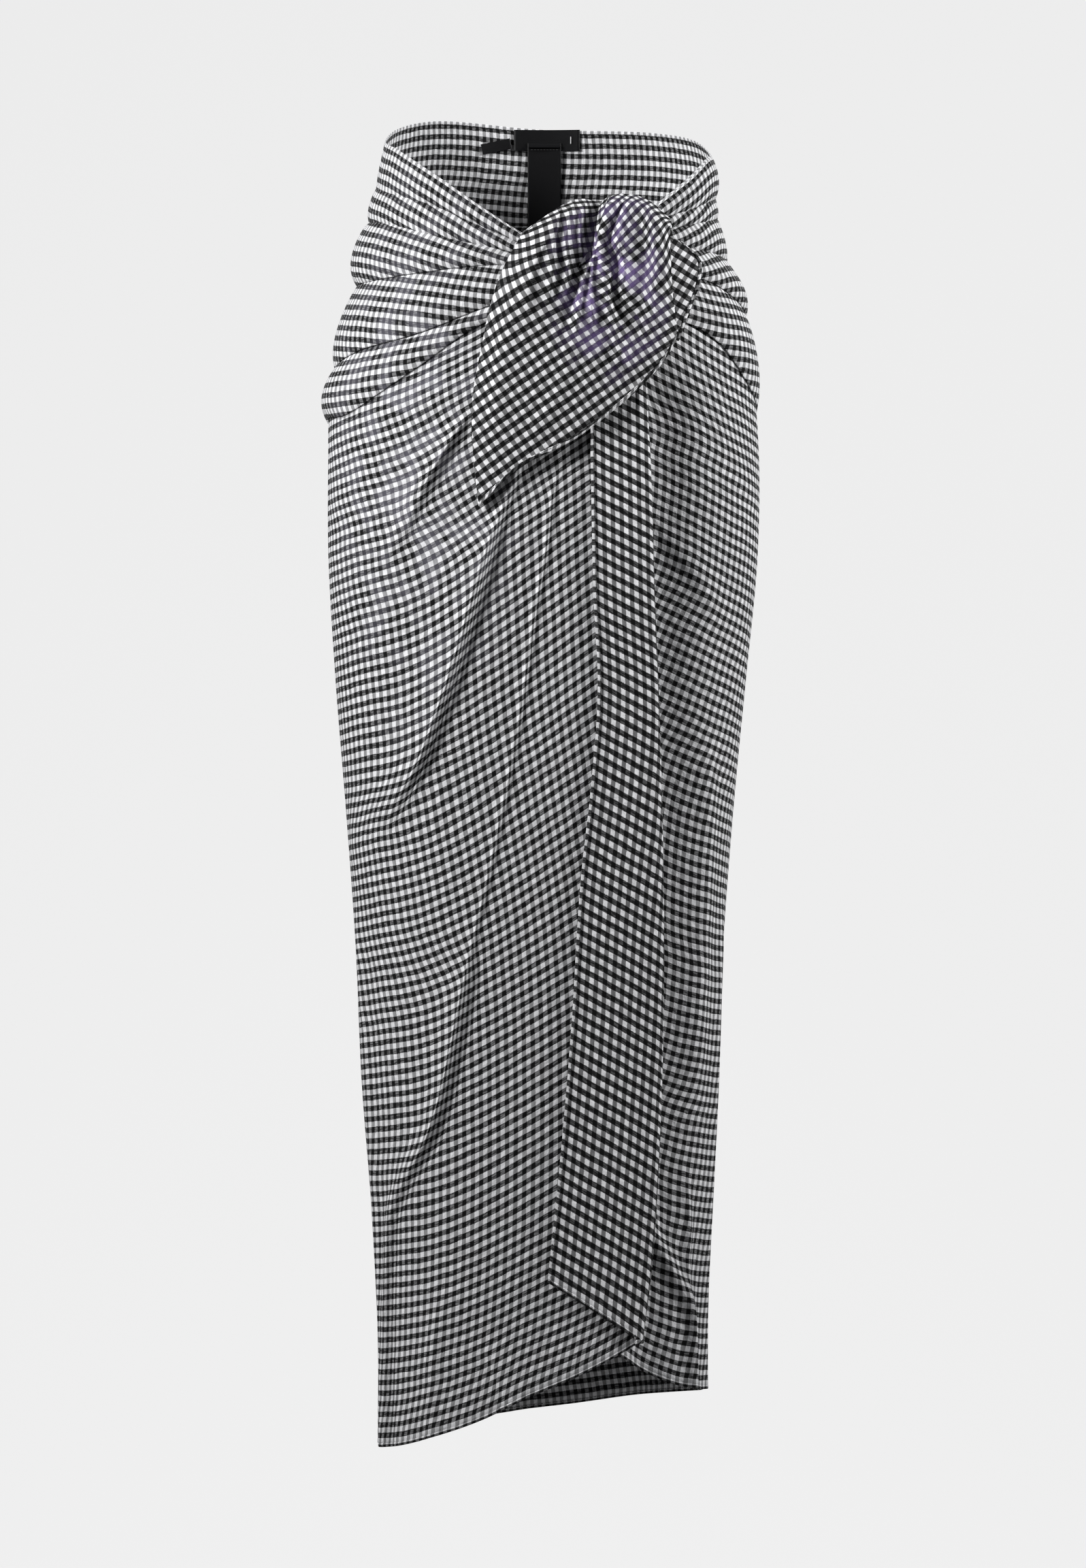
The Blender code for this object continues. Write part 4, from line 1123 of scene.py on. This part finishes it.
def flapSheet():
    down = np.linspace(0, 1, tieFlap["rows"] + 1)
    inner, outer = sidePoints(tieFlap["inner"], down), sidePoints(tieFlap["outer"], down)
    u = np.linspace(0, 1, tieFlap["columns"] + 1)[None, :, None]
    front = inner[:, None] * (1 - u) + outer[:, None] * u
    arch = np.sin(np.pi * u[..., 0]) * tieFlap["arch"] + 0 * front[..., 0]
    ripple = np.sin(2.2 * np.pi * (u[..., 0] * 0.6 + down[:, None] * 0.9))
    arch = arch + tieFlap["wave"] * ripple * (1 - u[..., 0] * 0.4)
    places, outs = onFront(front[..., 0], front[..., 1], tieFlap["standoff"] + arch)
    angle = math.radians(tieFlap["rowAngle"])
    flatX, flatZ = front[..., 0] - tieFlap["outer"][0][0], front[..., 1] - tieFlap["outer"][0][1]
    along = flatX * math.cos(angle) + flatZ * math.sin(angle)
    square = flatZ * math.cos(angle) - flatX * math.sin(angle)
    return places, np.stack([along, -square], axis=-1), outs


flapGrids = flapSheet()
flapPiece = clothSheet("tieFlapCloth", *flapGrids[:2], reverseShadedCloth, tieFlap["thickness"])
flapHems = hemmed("tieFlapHem", flapGrids, "end", 1, reverseShadedCloth)
print("flap made")


# Knot inside the leaf

tieKnot = {
    "x": 0.0450,
    "z": -0.1010,
    "halfLength": 0.0330,
    "halfHeight": 0.0150,
    "depth": 0.0099,
    "standoff": 0.0166,
    "groove": 0.07,
    "lobes": 5,
    "twist": 1.3,
    "rings": 60,
    "points": 80,
}


def knotSheet():
    along = np.linspace(-1, 1, tieKnot["rings"] + 1)[None, :]
    angle = np.linspace(0, 2 * np.pi, tieKnot["points"] + 1)[:, None]
    size = np.clip((1 - np.abs(along) ** 3) ** 0.5, 0.12, 1)
    groove = 1 - tieKnot["groove"] * np.cos(tieKnot["lobes"] * (angle + tieKnot["twist"] * along))
    z = tieKnot["z"] + tieKnot["halfHeight"] * size * groove * np.cos(angle)
    standoff = tieKnot["standoff"] + tieKnot["depth"] * size * groove * np.sin(angle)
    places = onFront(tieKnot["x"] + tieKnot["halfLength"] * along + 0 * z, z, standoff)[0]
    cloth = np.stack([along * 0.033 + 0 * z, angle * 0.012 + 0.02 * along + 0 * z], axis=-1)
    return places, cloth


knotPiece = clothSheet("knotCloth", *knotSheet(), reverseShadedCloth, 0)
print("knot made")


# Labels

labels = {
    # x, z, width, height, tilt, how many lie below it
    "waistLabel": (0.0040, 0.0140, 0.0510, 0.0160, 0.0, 0),
    "careLabel": (0.0020, -0.0250, 0.0260, 0.0740, 0.0, 1),
    "sizeTab": (-0.0350, 0.0090, 0.0230, 0.0080, 13.0, 0),
}


def labelMaterial():
    made, tree, shader = newMaterial("blackTape")
    spot = addNode(tree, "ShaderNodeTexCoord", (-900, 0))
    ribs = addNode(tree, "ShaderNodeTexWave", (-650, 0), wave_type="BANDS", bands_direction="Z")
    setInputs(ribs, {"Scale": 900.0, "Distortion": 1.5})
    tree.links.new(spot.outputs["Object"], ribs.inputs["Vector"])
    rib = ribs.outputs["Fac"]
    tone = mixColour(tree, (-350, 100), rib, (0.003, 0.003, 0.0035, 1), (0.008, 0.008, 0.009, 1))
    tree.links.new(tone, shader.inputs["Base Color"])
    bumpFrom(tree, shader, (-350, -150), rib, 0.3, 0.0002)
    setInputs(shader, {"Roughness": 0.45, "Specular IOR Level": 0.2})
    return made


def insideBack(x, z, inwards):
    middle, half = acrossFigure(z)
    place, out = figurePlace(180 - np.degrees(np.arcsin((x - middle) / half)), z)
    return place - out * inwards


def labelSheet(name):
    x, z, width, height, tilt, layers = labels[name]
    across = np.linspace(width / 2, -width / 2, 25)[None, :]
    down = np.linspace(height / 2, -height / 2, 41)[:, None]
    lean = math.radians(tilt)
    side = x + across * math.cos(lean) - down * math.sin(lean)
    level = z + across * math.sin(lean) + down * math.cos(lean)
    places = insideBack(side, level, 0.0020 + 0.0009 * layers)[:, ::-1]
    cloth = np.stack([across + 0 * down, down + 0 * across], axis=-1)
    return clothSheet(name, places, cloth, tapeFinish, 0.0004)


def tapeRow(name, start, end, pitch, share, radius, inwards, finish):
    # Short threads in a row on the inside of the back.
    count = max(1, int(math.dist(start, end) / pitch))
    shares = (np.arange(count) + 0.5) / count
    ends = []
    for offset in (-share / 2, share / 2):
        at = np.clip(shares + offset / count, 0, 1)[:, None]
        x, z = (np.array(start) * (1 - at) + np.array(end) * at).T
        ends.append(insideBack(x, z, inwards))
    halves = (ends[1] - ends[0]) / 2
    back = 0 * halves + (0, 1.0, 0)
    across = unit(np.cross(halves, back))
    middles = (ends[0] + ends[1]) / 2
    return threadTubes(name, middles, halves, across * radius, back * radius, 8, "NGON", finish)


tapeFinish = labelMaterial()
paleThread = fleckedMaterial("paleThread", 2600.0, (0.55, 0.55, 0.55, 1), (0.8, 0.8, 0.8, 1), 0.7)[0]
labelPieces = {name: labelSheet(name) for name in labels}
labelTrims = [
    # name, start, end, pitch, share of it that shows, radius, how far in, finish
    tapeRow("waistLabelBar", (0.0225, 0.017), (0.0225, 0.011), 0.006, 0.9, 0.00028, 0.0028, paleThread),
    tapeRow("careLabelStitches", (-0.009, 0.0068), (0.013, 0.0068), 0.0024, 0.6, 0.00022, 0.004,
            threadFinish),
    tapeRow("careLabelFold", (-0.0104, 0.0090), (0.0144, 0.0090), 0.0400, 1.0, 0.0011, 0.0036, tapeFinish),
]
print("labels made")


# What each piece is, and what it stands for

def rideRoot(piece, node=None):
    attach(piece, "root")
    if node:
        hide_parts(node)


for trim in labelTrims:
    rideRoot(trim)
heldBy = (
    # piece, node, slot, cut, how it is held, its hems
    (turnedEdge, "turned_edge", "gingham_cloth_reverse", (0.062, 0.83), "folded", turnedHems),
    (overPanel, "front_over", "gingham_cloth", (0.28, 0.92), "hung", overHems),
    (backPanel, "back", "gingham_cloth", (0.40, 0.97), "hung", backHems),
    (underPanel, "front_under", "gingham_cloth", (0.24, 0.92), "hung", underHems),
    (leafPiece, "tie_leaf", "gingham_cloth_reverse", (0.15, 0.21), "folded", leafHems),
    (flapPiece, "tie_flap", "gingham_cloth_reverse", (0.024, 0.08), "folded", flapHems),
)
for piece, node, slot, cut, held, trims in heldBy:
    rideRoot(piece, node)
    for trim in trims:
        rideRoot(trim)
rideRoot(knotPiece, "knot")
for name, node in (("waistLabel", "waist_label"), ("careLabel", "care_label"), ("sizeTab", "size_tab")):
    rideRoot(labelPieces[name], node)


# Studio

studio = {
    "cameraPlace": (0.001, -4.0, -0.478),
    "frameHeight": 1.17504,  # metres of the figure's middle plane that the picture shows
    "paper": (0.15, 0.15, 0.151, 1),
    "paperFleck": (0.16, 0.16, 0.161, 1),
    "paperGlow": 0.803,
    "floor": -1.30,
    "sweepReach": 6.0,
    "sweepDepth": 1.6,
    "sweepRadius": 1.2,
    "sweepTop": 3.5,
    "sky": 0.13,
    "lights": {
        # place, aim, size, watts, spread in degrees
        "key": ((-1.85, -1.25, 0.68), (0, 0, -0.05), 0.8, 17, 90),
        "fill": ((2.30, -0.55, 0.80), (0, 0, -0.03), 0.8, 15, 88),
        "back": ((0.45, 2.10, 0.72), (0, 0, -0.40), 1.0, 7.5, 75),
    },
}


def paperMaterial():
    made, tree, shader = fleckedMaterial("paperSweep", 300.0, studio["paper"], studio["paperFleck"], 0.9)
    # The camera sees the paper lit evenly, and the cloth is lit by the lamps.
    seen = addNode(tree, "ShaderNodeLightPath", (-500, -300))
    glow = mixColour(tree, (-250, -200), seen.outputs["Is Camera Ray"], (0.12, 0.12, 0.12, 1), (1, 1, 1, 1))
    tree.links.new(glow, shader.inputs["Emission Color"])
    shader.inputs["Emission Strength"].default_value = studio["paperGlow"]
    # From behind, the sweep lets the camera look through.
    facing = addNode(tree, "ShaderNodeNewGeometry", (-500, -500))
    front = mathNode(tree, "SUBTRACT", (-250, -450), 1.0, facing.outputs["Backfacing"])
    tree.links.new(front, shader.inputs["Alpha"])
    return made


def paperSweep():
    bpy.ops.object.select_all(action="DESELECT")
    radius, depth = studio["sweepRadius"], studio["sweepDepth"]
    floor, reach = studio["floor"], studio["sweepReach"]
    profile = [(-reach, floor)]
    for a in np.radians(np.linspace(-90, 0, 25)):
        profile.append((depth + radius * math.cos(a), floor + radius + radius * math.sin(a)))
    profile.append((depth + radius, studio["sweepTop"]))
    bpy.ops.mesh.primitive_grid_add(x_subdivisions=1, y_subdivisions=len(profile) - 1, size=1)
    sweep = bpy.context.object
    sweep.name = sweep.data.name = "paperSweep"
    places = [(x, y, z) for y, z in profile for x in (-reach, reach)]
    sweep.data.vertices.foreach_set("co", np.array(places, np.float32).reshape(-1))
    sweep.data.update()
    sweep.data.materials.append(paperMaterial())
    bpy.ops.object.shade_smooth()


def areaLight(name, place, aim, size, power, spread):
    data = bpy.data.lights.new(name, "AREA")
    data.shape = "DISK"
    data.size = size
    data.energy = power
    data.spread = math.radians(spread)
    light = bpy.data.objects.new(name, data)
    bpy.context.scene.collection.objects.link(light)
    light.location = place
    way = [a - p for a, p in zip(aim, place)]
    level = math.hypot(way[0], way[1])
    light.rotation_euler = (math.atan2(level, -way[2]), 0, math.atan2(-way[0], way[1]))


paperSweep()
for name, light in studio["lights"].items():
    areaLight(name, *light)
world = bpy.context.scene.world or bpy.data.worlds.new("studio")
bpy.context.scene.world = world
world.use_nodes = True
sky = world.node_tree.nodes["Background"]
seenSky = addNode(world.node_tree, "ShaderNodeLightPath", (-600, 0)).outputs["Is Camera Ray"]
glow = studio["paperGlow"] / studio["sky"]
skyTone = mixColour(world.node_tree, (-300, 0), seenSky, (0.97, 0.98, 1.0, 1), (glow, glow, glow, 1))
world.node_tree.links.new(skyTone, sky.inputs["Color"])
sky.inputs["Strength"].default_value = studio["sky"]
bpy.context.scene.view_settings.view_transform = "Standard"

cameraData = bpy.data.cameras.new("photoCamera")
cameraData.sensor_width = 36.0
cameraData.lens = 36.0 * abs(studio["cameraPlace"][1]) / studio["frameHeight"]
camera = bpy.data.objects.new("photoCamera", cameraData)
bpy.context.scene.collection.objects.link(camera)
camera.location = studio["cameraPlace"]
camera.rotation_euler = (math.radians(90), 0, 0)
bpy.context.scene.camera = camera
print("studio made")
